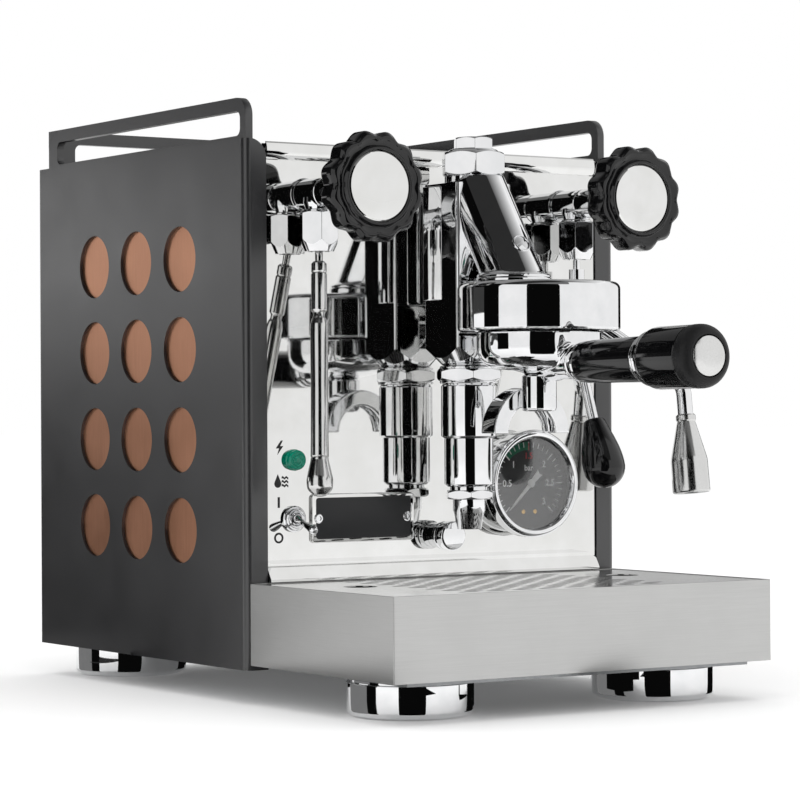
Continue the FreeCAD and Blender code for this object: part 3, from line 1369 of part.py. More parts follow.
def gauge():
    """Pressure gauge: can with bezel, dial, needle on its spindle, and glass."""
    lip = "(gauge_front - gauge_lip)"
    glass_back = f"({lip} - glass_sheet - turn_gap)"
    floor = "(gauge_back + dial_sheet)"
    here = ("gauge_x", "0", "gauge_z", "front")
    case = turned("gauge_case", [
        ("0", "-gauge_tail"), ("gauge_tail_radius", "-gauge_tail"), ("gauge_tail_radius", "-front_face"),
        ("gauge_can_radius", "-front_face"), ("gauge_can_radius", "gauge_back"),
        ("gauge_bezel_radius", "gauge_back"), ("gauge_bezel_radius", lip),
        ("gauge_bezel_radius - gauge_lip", "gauge_front"), ("gauge_window", "gauge_front"),
        ("gauge_window", lip), ("glass_radius + turn_gap", lip), ("glass_radius + turn_gap", glass_back),
        ("dial_radius + turn_gap", glass_back), ("dial_radius + turn_gap", floor), ("0", floor)], *here)
    piece("gauge_case", case)
    eye = "spindle_radius + turn_gap"
    face = f"{floor} + dial_sheet"
    piece("gauge_dial", turned("gauge_dial", [
        (eye, floor), ("dial_radius", floor), ("dial_radius", face), (eye, face)], *here))
    piece("gauge_glass", turned("gauge_glass", [
        ("0", f"{lip} - glass_sheet"), ("glass_radius", f"{lip} - glass_sheet"), ("glass_radius", lip),
        ("0", lip)], *here))
    start = f"{floor} + turn_gap"
    hub = turned("needle_hub_disc", [
        ("0", start), ("spindle_radius", start), ("spindle_radius", "needle_height"),
        ("needle_hub", "needle_height"), ("needle_hub", "needle_height + needle_sheet"),
        ("0", "needle_height + needle_sheet")], *here)
    hand = box("needle_hand", ("needle_length + needle_tail", "needle_sheet", "needle_width"))
    turn(hand, (0, 1, 0), "180 - needle_rest")
    x = "gauge_x + needle_tail * cos(needle_rest) - needle_width / 2 * sin(needle_rest)"
    z = "gauge_z + needle_tail * sin(needle_rest) + needle_width / 2 * cos(needle_rest)"
    base(hand, x, "-needle_height - needle_sheet", z)
    piece("gauge_needle", fuse("gauge_needle", hub, hand))


def switch_and_lamp():
    """Toggle switch with its lever, and the pilot lamp."""
    here = ("switch_x", "0", "switch_z", "front")
    nut = bevelled_nut("switch_nut_hex", "switch_nut_across", "switch_nut + front_face",
                       "switch_x", "front_face", "switch_z", "front")
    sleeve = turned("switch_sleeve", [("0", "-fitting_tail"), ("switch_radius", "-fitting_tail"),
                                      ("switch_radius", "switch_length"), ("0", "switch_length")], *here)
    room = turned("switch_room", [("0", "switch_pivot - switch_ball - turn_gap"),
                                  ("switch_ball + turn_gap", "switch_pivot - switch_ball - turn_gap"),
                                  ("switch_ball + turn_gap", "switch_pivot + switch_ball / 2"),
                                  ("switch_mouth", "switch_length"), ("0", "switch_length")], *here)
    piece("switch_bushing", cut("switch_bushing", fuse("switch_solid", nut, sleeve), room))
    pivot = ball("toggle_ball", "switch_ball", "switch_x", "-switch_pivot", "switch_z")
    arm = cone("toggle_arm", "toggle_radius", "toggle_tip_radius", "toggle_length",
               "switch_x", "-switch_pivot", "switch_z")
    turn(arm, (1, 0, 0), "90 + toggle_drop")
    end = ball("toggle_end", "toggle_tip_radius", "switch_x",
               "-switch_pivot - toggle_length * cos(toggle_drop)",
               "switch_z - toggle_length * sin(toggle_drop)")
    piece("switch_lever", fuse("switch_lever", pivot, arm, end))
    lamp = turned("pilot_lamp", [("0", "-fitting_tail"), ("lamp_tail_radius", "-fitting_tail"),
                                 ("lamp_tail_radius", "-front_face"), ("lamp_radius", "-front_face"),
                                 ("lamp_radius", "lamp_length"), ("0", "lamp_length")],
                  "switch_x", "0", "lamp_z", "front")
    piece("pilot_lamp", rounded(lamp, "nut_bevel", ring_edge("lamp_length")))


def badge_spots(name, radius, length, y, toward):
    """One cylinder at each end of the badge plate."""
    middle = "(badge_foot + badge_top) / 2"
    ends = ("badge_left + badge_screw_inset", "badge_right - badge_screw_inset")
    return [rod(f"{name}_{i}", radius, length, x, y, middle, toward) for i, x in enumerate(ends)]


def badge_and_screws():
    """Bare badge plate with a raised frame, its screws, the rear screws and the outlet cap."""
    wide = "(badge_right - badge_left)"
    tall = "(badge_top - badge_foot)"
    face = "(front_face - badge_sheet)"
    plate = box("badge_blank", (wide, "badge_sheet", tall), "badge_left", face, "badge_foot")
    sink = box("badge_sink_room", (f"{wide} - 2 * badge_frame", "badge_sink", f"{tall} - 2 * badge_frame"),
               "badge_left + badge_frame", face, "badge_foot + badge_frame")
    holes = badge_spots("badge_hole", "screw_shank + hole_gap", "badge_sheet * 2", face, "back")
    piece("badge_plate", cut("badge_plate", plate, sink, *holes))
    seat = f"({face} + badge_sink)"
    heads = badge_spots("badge_screw_head", "screw_radius", "screw_head", seat, "front")
    shanks = badge_spots("badge_screw_shank", "screw_shank", "front_return / 2", seat, "back")
    screws = [fuse(f"badge_screw_{i}", head, shank) for i, (head, shank) in enumerate(zip(heads, shanks))]
    for i in (-1, 1):
        for j, z in enumerate(("rear_screw_foot", REAR_SCREW_TOP)):
            here = (f"{i} * rear_screw_x", "body_depth - panel_sheet", z)
            head = rod(f"rear_screw_head_{i}_{j}", "screw_radius", "screw_head", *here, "back")
            shank = rod(f"rear_screw_shank_{i}_{j}", "screw_shank", "rear_sheet * 3", *here, "front")
            screws.append(fuse(f"rear_screw_{i}_{j}", head, shank))
    piece("panel_screws", group("panel_screws", *screws))
    cap = turned("outlet_cap", [
        ("0", "-fitting_tail"), ("valve_tail_radius", "-fitting_tail"),
        ("valve_tail_radius", "-front_face"), ("outlet_cap_neck", "-front_face"),
        ("outlet_cap_neck", "outlet_cap_front / 2"),
        ("outlet_cap_radius", "outlet_cap_front / 2"), ("outlet_cap_radius", "outlet_cap_front"),
        ("0", "outlet_cap_front")], "0", "0", "outlet_cap_z", "front")
    piece("outlet_cap", rounded(cap, "nut_bevel / 2", ring_edge("outlet_cap_front")))


def boiler():
    """Hollow boiler with pipe bosses, its heating element and the stands."""
    here = ("-boiler_half", "boiler_y", BOILER_Z, "right")
    long = "(2 * boiler_half)"
    inner = "(boiler_radius - boiler_wall)"
    shell = turned("boiler_shell", [
        ("0", "0"), ("element_flange_radius", "0"), ("boiler_radius", "boiler_dome"),
        ("boiler_radius", f"{long} - boiler_dome"), ("element_flange_radius", long), ("0", long)], *here)
    room = turned("boiler_room", [
        ("0", "boiler_wall"), ("element_flange_radius", "boiler_wall"),
        (inner, "boiler_dome + boiler_wall"), (inner, f"{long} - boiler_dome - boiler_wall"),
        ("element_flange_radius", f"{long} - boiler_wall"), ("0", f"{long} - boiler_wall")], *here)
    port = rod("element_port", "element_port_radius", "boiler_wall", *here)
    bosses = [rod(f"boiler_boss_{i}", "boss_radius", "boiler_y - boss_front", "0", "boss_front",
                  f"{BOILER_Z} + {i} * boss_rise", "back") for i in (0, 1)]
    solid = fuse("boiler_solid", shell, *bosses)
    piece("boiler", cut("boiler", solid, room, port))
    flange = rod("element_flange_disc", "element_flange_radius", "element_flange",
                 "-boiler_half", "boiler_y", BOILER_Z, "left")
    rods = [rod(f"element_rod_{i}", "element_rod_radius", "element_rod_length", "-boiler_half", "boiler_y",
                f"{BOILER_Z} + {i} * element_rod_gap / 2", "right") for i in (-1, 1)]
    bend = rod("element_bend", "element_rod_radius", "element_rod_gap", "element_rod_length - boiler_half",
               "boiler_y", f"{BOILER_Z} - element_rod_gap / 2")
    ends = [ball(f"element_end_{i}", "element_rod_radius", "element_rod_length - boiler_half", "boiler_y",
                 f"{BOILER_Z} + {i} * element_rod_gap / 2") for i in (-1, 1)]
    piece("heating_element", fuse("heating_element", flange, *rods, bend, *ends))


def inner_brackets():
    """Stands under the boiler and the shelf under the water tank."""
    stands = []
    for i in (-1, 1):
        web = box(f"stand_web_{i}", ("stand_sheet", "stand_width", f"{BOILER_Z} - {BASE_TOP}"),
                  f"{i} * stand_x - stand_sheet / 2", "boiler_y - stand_width / 2", BASE_TOP)
        cradle = rod(f"stand_cradle_{i}", "boiler_radius + turn_gap", "2 * stand_sheet",
                     f"{i} * stand_x - stand_sheet", "boiler_y", BOILER_Z, "right")
        stands.append(cut(f"boiler_stand_{i}", web, cradle))
    depth = f"({REAR_INNER} - {SHELF_FRONT})"
    top = slab("shelf_top", "shelf_half", depth, "shelf_sheet", SHELF_FRONT, f"{SHELF_Z} - shelf_sheet")
    size = ("shelf_sheet", depth, f"{SHELF_Z} - {BASE_TOP}")
    legs = [box(f"shelf_leg_{i}", size, x, SHELF_FRONT, BASE_TOP)
            for i, x in enumerate(("-shelf_half", "shelf_half - shelf_sheet"))]
    piece("inner_brackets", group("inner_brackets", *stands, fuse("tank_shelf", top, *legs)))


def water_tank():
    """Open tank on the shelf."""
    outer = slab("tank_outer", "tank_half", f"{TANK_REAR} - {TANK_FRONT}", "tank_height",
                 TANK_FRONT, SHELF_Z)
    inner = slab("tank_inner", "tank_half - tank_wall", f"{TANK_REAR} - {TANK_FRONT} - 2 * tank_wall",
                 "tank_height", f"{TANK_FRONT} + tank_wall", f"{SHELF_Z} + tank_wall")
    piece("water_tank", cut("water_tank", outer, inner))


def pump_and_control():
    """Vibrating pump on its foot, and the control box."""
    foot = box("pump_base", ("pump_coil", "pump_coil", "pump_foot"), "pump_x - pump_coil / 2",
               f"{PUMP_Y} - pump_coil / 2", BASE_TOP)
    coil = box("pump_coil_block", ("pump_coil", "pump_coil", "pump_coil"), "pump_x - pump_coil / 2",
               f"{PUMP_Y} - pump_coil / 2", f"{BASE_TOP} + pump_foot")
    barrel = rod("pump_barrel", "pump_radius", "pump_length", "pump_x", f"{PUMP_Y} - pump_length / 2",
                 f"{BASE_TOP} + pump_foot + pump_coil / 2", "back")
    piece("pump", fuse("pump", foot, coil, barrel))
    piece("control_box", box("control_box", ("control_width", "control_depth", "control_height"),
                             "control_x - control_width / 2", f"{PUMP_Y} - control_depth / 2", BASE_TOP))


def pipes():
    """Pipes from the boiler to the group and to the valves."""
    made = [rod(f"siphon_pipe_{i}", "pipe_radius", f"boss_front - {BULKHEAD_BACK}", "0", BULKHEAD_BACK,
                f"{BOILER_Z} + {i} * boss_rise", "back") for i in (0, 1)]
    for i, side in ((-1, "steam"), (1, "water")):
        x = f"{i} * valve_x"
        far = f"{i} * stand_x"
        made.append(tube(side + "_pipe", "pipe_radius", [
            (x, "valve_tail_end", VALVE_Z), (x, "boiler_y", VALVE_Z), (far, "boiler_y", VALVE_Z),
            (far, "boiler_y", f"{BOILER_Z} + boiler_radius + turn_gap")], "pipe_bend"))
    piece("copper_pipes", group("copper_pipes", *made))


def mains_inlet():
    """Appliance inlet in the rear panel."""
    wide = "(inlet_width + 2 * inlet_flange)"
    tall = "(inlet_height + 2 * inlet_flange)"
    flange = box("inlet_flange_plate", (wide, "inlet_flange_sheet", tall), f"inlet_x - {wide} / 2",
                 "body_depth - panel_sheet", f"inlet_z - {tall} / 2")
    body = box("inlet_body", ("inlet_width", "inlet_depth", "inlet_height"), "inlet_x - inlet_width / 2",
               "body_depth - panel_sheet - inlet_depth", "inlet_z - inlet_height / 2")
    inner = ("inlet_width - 2 * inlet_wall", "inlet_depth", "inlet_height - 2 * inlet_wall")
    room = box("inlet_room", inner,
               "inlet_x - inlet_width / 2 + inlet_wall", "body_depth - inlet_depth + inlet_wall",
               "inlet_z - inlet_height / 2 + inlet_wall")
    piece("mains_inlet", cut("mains_inlet", fuse("inlet_solid", flange, body), room))


def build():
    """Make every sub-part."""
    for side, sign in (("left", -1), ("right", 1)):
        side_panel(side, sign)
    both("copper_inserts", copper_insert)
    base_plate()
    holes = panel_holes()
    front_panel(holes)
    front_bulkhead(holes)
    rear_panel()
    cup_tray()
    cup_rails()
    feet()
    drip_tray()
    drip_grid()
    group_body()
    group_nuts()
    brew_lever()
    group_seal()
    portafilter()
    both("valve_bodies", valve_body)
    both("bonnet_nuts", bonnet_nut)
    both("outlet_nuts", outlet_nut)
    knob("steam", -1)
    knob("water", 1)
    steam_wand()
    water_wand()
    gauge()
    switch_and_lamp()
    badge_and_screws()
    boiler()
    inner_brackets()
    water_tank()
    pump_and_control()
    pipes()
    mains_inlet()
    doc.recompute()


def write():
    """Check every object and write each sub-part's file."""
    failed = [obj.Name for obj in doc.Objects if {"Invalid", "Error"} & set(obj.State)]
    failed += [obj.Label for obj in pieces if obj.Shape.isNull() or not obj.Shape.isValid()]
    if failed:
        raise RuntimeError("failed: " + ", ".join(failed))
    os.makedirs("parts", exist_ok=True)
    for obj in pieces:
        obj.Shape.exportStep(f"parts/{obj.Label}.step")


build()
write()
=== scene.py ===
import json
import logging
import math
from dataclasses import dataclass
from enum import Enum
from typing import Sequence

import bpy
from mathutils import Matrix, Vector


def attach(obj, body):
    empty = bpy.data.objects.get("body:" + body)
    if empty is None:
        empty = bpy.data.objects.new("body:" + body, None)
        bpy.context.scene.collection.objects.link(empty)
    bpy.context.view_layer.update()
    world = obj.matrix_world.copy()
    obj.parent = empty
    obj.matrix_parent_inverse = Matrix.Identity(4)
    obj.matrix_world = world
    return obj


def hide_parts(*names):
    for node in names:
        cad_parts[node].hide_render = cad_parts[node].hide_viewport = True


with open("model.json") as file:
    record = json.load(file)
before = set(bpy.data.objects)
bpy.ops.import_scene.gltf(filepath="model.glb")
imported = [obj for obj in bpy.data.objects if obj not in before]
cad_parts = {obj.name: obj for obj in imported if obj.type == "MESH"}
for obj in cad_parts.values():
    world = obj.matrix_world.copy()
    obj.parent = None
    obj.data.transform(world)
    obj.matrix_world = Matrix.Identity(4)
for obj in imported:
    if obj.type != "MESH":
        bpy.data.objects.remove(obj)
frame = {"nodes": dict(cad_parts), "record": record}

LOG = logging.getLogger("espresso_machine")
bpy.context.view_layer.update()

# Place of the machine's mid-plane and front plane in the part's frame, in millimetres
MID_X = -13.4
FRONT_Y = -8.1
MILLI = 0.001
# Most degrees that one step of a rounded corner takes, and the steps round a plate's corner
ARC_STEP = 12
CORNER_STEPS = 5

Profile = Sequence[tuple[float, ...]]


class Way(Enum):
    """Direction that a turned piece's own axis takes."""

    UP = (0, 0, 1)
    FRONT = (0, -1, 0)
    BACK = (0, 1, 0)
    RIGHT = (1, 0, 0)


class Side(Enum):
    """Side of the machine that a paired piece is on."""

    LEFT = -1
    RIGHT = 1


def linear(colour: str) -> tuple[float, float, float, float]:
    """Turn an sRGB hex colour into linear RGBA.

    Args:
        colour: Six hex digits after a hash.

    Returns:
        Linear red, green, blue and an alpha of one.
    """
    parts = [int(colour[i:i + 2], 16) / 255 for i in (1, 3, 5)]
    red, green, blue = [c / 12.92 if c <= 0.04045 else ((c + 0.055) / 1.055) ** 2.4 for c in parts]
    return red, green, blue, 1.0


def add(tree: bpy.types.NodeTree, kind: str, inputs: dict | None = None,
        **settings: object) -> bpy.types.Node:
    """Add a shader node with its settings, values and links.

    Args:
        tree: Node tree that gets the node.
        kind: Node type without its ShaderNode prefix.
        inputs: Value or source socket for each named or numbered input.
        **settings: Properties of the node.

    Returns:
        The new node.
    """
    node = tree.nodes.new("ShaderNode" + kind)
    for name, setting in settings.items():
        setattr(node, name, setting)
    for name, given in (inputs or {}).items():
        if isinstance(given, bpy.types.NodeSocket):
            tree.links.new(given, node.inputs[name])
        else:
            node.inputs[name].default_value = given
    return node


def fresh(owner: bpy.types.Material | bpy.types.World) -> bpy.types.NodeTree:
    """Give a material or a world an empty node tree.

    Args:
        owner: New material or world.

    Returns:
        Its node tree.
    """
    owner.use_nodes = True
    owner.node_tree.nodes.clear()
    return owner.node_tree


@dataclass(frozen=True)
class Finish:
    """One material, named for what it is and how its surface was made.

    Attributes:
        name: Common name of the material and its surface.
        slot: Slot of the record that it stands for.
        dark: Darker colour of its marks.
        light: Lighter colour of its marks.
        rough: Least and greatest roughness.
        grain: Millimetres from one mark of the pattern to the next.
        stretch: How close the marks lie along X, Y and Z.
        relief: Depth of the marks in millimetres.
        cloud: Size in millimetres of the soft unevenness.
        metallic: One for bare metal.
        transmission: Share of light that passes through.
        ior: Index of refraction.
    """

    name: str
    slot: str
    dark: str
    light: str
    rough: tuple[float, float]
    grain: float
    stretch: tuple[float, float, float] = (1, 1, 1)
    relief: float = 0.0
    cloud: float = 35.0
    metallic: float = 0.0
    transmission: float = 0.0
    ior: float = 1.5

    def material(self) -> bpy.types.Material:
        """Make the material, or return it if it is made already.

        Returns:
            The material with its node tree.
        """
        made = bpy.data.materials.get(self.name)
        if made:
            return made
        made = bpy.data.materials.new(self.name)
        tree = fresh(made)
        place = add(tree, "TexCoord").outputs["Object"]
        scale = [step / (self.grain * MILLI) for step in self.stretch]
        marks_at = add(tree, "Mapping", {"Vector": place, "Scale": scale}).outputs["Vector"]
        marks = add(tree, "TexNoise", {"Vector": marks_at, "Scale": 1.0, "Detail": 2.0}).outputs["Fac"]
        soft = {"Vector": place, "Scale": 1 / (self.cloud * MILLI), "Detail": 3.0}
        cloud = add(tree, "TexNoise", soft).outputs["Fac"]
        both = add(tree, "Math", {0: marks, 1: cloud}, operation="MULTIPLY").outputs[0]
        share = add(tree, "MapRange", {"Value": both, "From Min": 0.12, "From Max": 0.4}).outputs["Result"]
        colour = {0: share, 6: linear(self.dark), 7: linear(self.light)}
        base = add(tree, "Mix", colour, data_type="RGBA").outputs[2]
        spread = {"Value": share, "To Min": self.rough[0], "To Max": self.rough[1]}
        rough = add(tree, "MapRange", spread).outputs["Result"]
        inputs = {"Base Color": base, "Roughness": rough, "Metallic": self.metallic, "IOR": self.ior}
        inputs["Transmission Weight"] = self.transmission
        if self.relief:
            rise = {"Height": marks, "Distance": self.relief * MILLI, "Strength": 1.0}
            inputs["Normal"] = add(tree, "Bump", rise).outputs["Normal"]
        shader = add(tree, "BsdfPrincipled", inputs)
        add(tree, "OutputMaterial", {"Surface": shader.outputs[0]})
        return made


# Powder coat over folded steel: even black with a fine orange peel and a broad soft sheen
PANEL = Finish("powder_coated_steel", "panel_black", "#19191b", "#1f1f21", (0.28, 0.34), 0.9, relief=0.012,
               ior=1.8)
# Rolled copper-coloured sheet under clear lacquer: satin, with faint rolling lines
COPPER_SHEET = Finish("lacquered_copper_sheet", "copper_sheet", "#c58d6e", "#d0987a", (0.30, 0.40), 0.8,
                      (1, 1, 0.05), relief=0.004, metallic=1.0)
# Stainless sheet polished to a mirror: a few soft smears in a clean reflection
MIRROR = Finish("mirror_polished_steel", "mirror_steel", "#dededc", "#e6e6e5", (0.02, 0.05), 14.0,
                cloud=60, metallic=1.0)
# Mirror-polished stainless of the drip grid in a greyer copy. The greyer colour is painted shade that stands
# in for the darker reflection of the grid's flat, and the higher roughness softens its reflections
DIMMED_GRID_STEEL = Finish("grid_steel_painted_darker", "mirror_steel", "#a6a6a5", "#b4b4b3", (0.08, 0.16), 3.0, metallic=1.0)
# Stainless sheet brushed along its length: lines drawn about three times too coarse, so that they show
SATIN = Finish("brushed_steel", "satin_steel", "#babab9", "#c1c1c0", (0.30, 0.35), 0.5, (0.02, 0.02, 1),
               relief=0.0007, metallic=1.0)
# Cold-rolled zinc-plated sheet: dull grey with soft cloudy spangle
PLAIN = Finish("zinc_plated_steel", "plain_steel", "#8f9193", "#a9abac", (0.38, 0.52), 5.0, relief=0.01,
               metallic=1.0)
# Chromium plate on polished brass: bright, almost clean mirror with a trace of polishing haze
CHROME = Finish("chromed_brass", "chrome", "#e2e3e4", "#ececed", (0.015, 0.04), 9.0, cloud=25, metallic=1.0)
# Stainless bar ground and lightly buffed: bright, with reflections blurred at their edges
GROUND = Finish("buffed_steel_bar", "chrome", "#cfcfce", "#dadad9", (0.13, 0.21), 0.8, relief=0.0005,
                metallic=1.0)
# Phenolic moulding polished to a gloss: deep black with sharp highlights
GLOSS = Finish("polished_phenolic", "gloss_black", "#080809", "#0e0e0f", (0.05, 0.09), 6.0, relief=0.0008)
# Moulded plastic straight from the tool: black with a fine even grain
MATTE = Finish("moulded_black_plastic", "matte_black", "#131314", "#1b1b1c", (0.42, 0.55), 0.8, relief=0.03,
               ior=1.35)
# Moulded nitrile rubber: dull black
RUBBER = Finish("moulded_rubber", "rubber_black", "#121212", "#1b1b1b", (0.7, 0.85), 0.7, relief=0.03,
                ior=1.35)
# Enamelled dial plate: satin black with a faint speckle
DIAL = Finish("enamelled_dial", "dial_black", "#17181a", "#202123", (0.35, 0.5), 0.5, relief=0.004)
# Painted sheet hand: light grey
HAND = Finish("painted_hand", "needle_grey", "#e4e5e3", "#efefee", (0.3, 0.45), 0.6, relief=0.004)
# Flat mineral glass: clear, with a strong face reflection
GLASS = Finish("mineral_glass", "clear_glass", "#fbfcfc", "#ffffff", (0.0, 0.01), 20.0, transmission=1.0,
               ior=1.75)
# Dyed acrylic lens: deep green, polished
LENS = Finish("dyed_acrylic", "green_lens", "#04866b", "#0c967a", (0.06, 0.12), 1.2, relief=0.01,
              transmission=0.12, ior=1.49)
# Drawn copper: bright brown-pink with die lines
COPPER = Finish("drawn_copper", "copper_metal", "#b06a4a", "#c98463", (0.2, 0.35), 1.5, relief=0.005,
                metallic=1.0)
# Natural polypropylene: milky, lets a soft light through
TANK = Finish("milky_polypropylene", "tank_plastic", "#d9dcd9", "#e8eae7", (0.35, 0.45), 1.5, relief=0.01,
              transmission=0.4, ior=1.49)
# Turned brass: warm yellow with fine tool lines
BRASS = Finish("turned_brass", "brass", "#b08a45", "#c9a35c", (0.18, 0.3), 0.6, relief=0.004, metallic=1.0)
# Screen-printed ink: flat white
WHITE_INK = Finish("white_ink", "needle_grey", "#fbfbfa", "#ffffff", (0.5, 0.6), 0.5)
# Screen-printed ink: signal red
RED_INK = Finish("red_ink", "needle_grey", "#d02d33", "#de3a3e", (0.5, 0.6), 0.5)
# Screen-printed ink: green
GREEN_INK = Finish("green_ink", "needle_grey", "#0f6e4e", "#157a58", (0.5, 0.6), 0.5)
# Etched and filled mark on the steel: black
BLACK_INK = Finish("black_ink", "matte_black", "#141415", "#1c1c1d", (0.45, 0.55), 0.5)

# Finish of a CAD node, by the record's slot
FINISHES = {finish.slot: finish for finish in (
    PANEL, COPPER_SHEET, MIRROR, SATIN, PLAIN, CHROME, GLOSS, MATTE, RUBBER, DIAL, HAND, GLASS, LENS, COPPER,
    TANK, BRASS)}


def seat(x: float, y: float, z: float, way: Way | Vector = Way.UP, spin: float = 0.0) -> Matrix:
    """Find where a piece that is drawn in millimetres about its own Z axis goes.

    Args:
        x: Place to the right of the mid-plane.
        y: Place behind the front of the side panels.
        z: Height over the floor.
        way: Direction that the piece's own Z axis takes.
        spin: Degrees that the piece is turned about its own axis first.

    Returns:
        Matrix from the drawing to the part's frame in metres.
    """
    toward = Vector(way.value) if isinstance(way, Way) else Vector(way)
    lean = Vector((0, 0, 1)).rotation_difference(toward).to_matrix().to_4x4()
    here = Matrix.Translation((x + MID_X, y + FRONT_Y, z))
    return Matrix.Scale(MILLI, 4) @ here @ lean @ Matrix.Rotation(math.radians(spin), 4, "Z")


def begin(kind: str, name: str, **settings: object) -> bpy.types.Object:
    """Add a primitive with nothing else selected and go into edit mode.

    Args:
        kind: Kind of primitive, as in its operator's name.
        name: Name of the new object.
        **settings: Sizes and place of the primitive.

    Returns:
        The new object.
    """
    bpy.ops.object.select_all(action="DESELECT")
    getattr(bpy.ops.mesh, f"primitive_{kind}_add")(**settings)
    made = bpy.context.object
    made.name = name
    made.data.name = name
    bpy.ops.object.mode_set(mode="EDIT")
    return made


def pick(made: bpy.types.Object) -> None:
    """Leave edit mode and select one object alone.

    Args:
        made: Object to select and make active.
    """
    if bpy.context.object and bpy.context.object.mode != "OBJECT":
        bpy.ops.object.mode_set(mode="OBJECT")
    bpy.ops.object.select_all(action="DESELECT")
    made.select_set(True)
    bpy.context.view_layer.objects.active = made


def settle(made: bpy.types.Object, where: Matrix, angle: float = 32.0) -> bpy.types.Object:
    """Put a finished mesh in its place and smooth its round faces.

    Args:
        made: Object that was drawn in millimetres.
        where: Matrix to the part's frame.
        angle: Edges sharper than this many degrees stay crisp.

    Returns:
        The same object, at the origin with its place in its mesh.
    """
    pick(made)
    made.data.transform(where)
    made.data.update()
    bpy.ops.object.shade_smooth_by_angle(angle=math.radians(angle))
    return made


def modify(made: bpy.types.Object, kind: str, **settings: object) -> None:
    """Add a modifier with its settings and apply it.

    Args:
        made: Object that gets it.
        kind: Type of the modifier.
        **settings: Properties of the modifier.
    """
    pick(made)
    step = made.modifiers.new(kind.lower(), kind)
    for name, setting in settings.items():
        setattr(step, name, setting)
    bpy.ops.object.modifier_apply(modifier=step.name)


def soften(made: bpy.types.Object, width: float, segments: int = 2, angle: float = 28.0) -> None:
    """Bevel every edge that is sharper than an angle.

    Args:
        made: Object to bevel.
        width: Width of the bevel in the object's own units.
        segments: Steps across each bevel.
        angle: Least angle in degrees.
    """
    modify(made, "BEVEL", width=width, segments=segments, limit_method="ANGLE",
           angle_limit=math.radians(angle), use_clamp_overlap=True)


def arcs(profile: Profile) -> list[Vector]:
    """Turn the marked corners of an outline into arcs.

    Args:
        profile: Points of radius and height, with a third number for a corner's radius.

    Returns:
        Points along the outline.
    """
    points = []
    for i, corner in enumerate(profile):
        here = Vector(corner[:2])
        if len(corner) < 3 or i in (0, len(profile) - 1):
            points.append(here)
            continue
        back = (Vector(profile[i - 1][:2]) - here).normalized()
        ahead = (Vector(profile[i + 1][:2]) - here).normalized()
        half = back.angle(ahead) / 2
        middle = here + (back + ahead).normalized() * (corner[2] / math.sin(half))
        first = here + back * (corner[2] / math.tan(half)) - middle
        last = here + ahead * (corner[2] / math.tan(half)) - middle
        sweep = math.atan2(first.x * last.y - first.y * last.x, first.dot(last))
        steps = max(2, round(math.degrees(abs(sweep)) / ARC_STEP))
        for k in range(steps + 1):
            points.append(middle + Matrix.Rotation(sweep * k / steps, 2) @ first)
    return points


def turn(name: str, profile: Profile, steps: int = 96) -> bpy.types.Object:
    """Turn an outline about Z, in millimetres.

    Args:
        name: Name of the new object.
        profile: Points of radius and height, with a third number for a corner's radius.
        steps: Steps round the full turn.

    Returns:
        The closed object, in edit mode.
    """
    points = arcs(profile)
    made = begin("plane", name, size=1.0)
    bpy.ops.mesh.merge(type="CENTER")
    bpy.ops.transform.translate(value=(points[0].x, 0, points[0].y))
    for one, other in zip(points, points[1:]):
        step = other - one
        bpy.ops.mesh.extrude_vertices_move(TRANSFORM_OT_translate={"value": (step.x, 0, step.y)})
    bpy.ops.mesh.select_all(action="SELECT")
    bpy.ops.mesh.spin(steps=steps, angle=math.tau, center=(0, 0, 0), axis=(0, 0, 1))
    bpy.ops.mesh.select_all(action="SELECT")
    bpy.ops.mesh.remove_doubles(threshold=0.001)
    bpy.ops.mesh.normals_make_consistent(inside=False)
    return made


def block(name: str, size: tuple[float, float, float], where: Matrix, soft: float,
          segments: int = 3) -> bpy.types.Object:
    """Make a block with rounded edges, centred on its own origin.

    Args:
        name: Name of the new object.
        size: Sizes along its own axes.
        where: Matrix to the part's frame.
        soft: Radius of its edges.
        segments: Steps round each edge.

    Returns:
        The finished object.
    """
    made = begin("cube", name, size=1.0)
    bpy.ops.transform.resize(value=size, center_override=(0, 0, 0))
    bpy.ops.mesh.select_all(action="SELECT")
    bpy.ops.mesh.bevel(offset=soft, segments=segments, affect="EDGES")
    return settle(made, where)


def words(name: str, text: str, size: float, where: Matrix, thick: float = 0.05) -> bpy.types.Object:
    """Set plain numerals or a unit as a thin mesh.

    Args:
        name: Name of the new object.
        text: What it says.
        size: Height of the letters' body.
        where: Matrix to the part's frame.
        thick: Half the thickness of the ink.

    Returns:
        The finished object.
    """
    bpy.ops.object.select_all(action="DESELECT")
    bpy.ops.object.text_add()
    made = bpy.context.object
    made.name = name
    made.data.body = text
    made.data.size = size
    made.data.extrude = thick
    made.data.offset = size * 0.02
    made.data.align_x = "CENTER"
    made.data.align_y = "CENTER"
    bpy.ops.object.convert(target="MESH")
    made.data.name = name
    return settle(made, where)


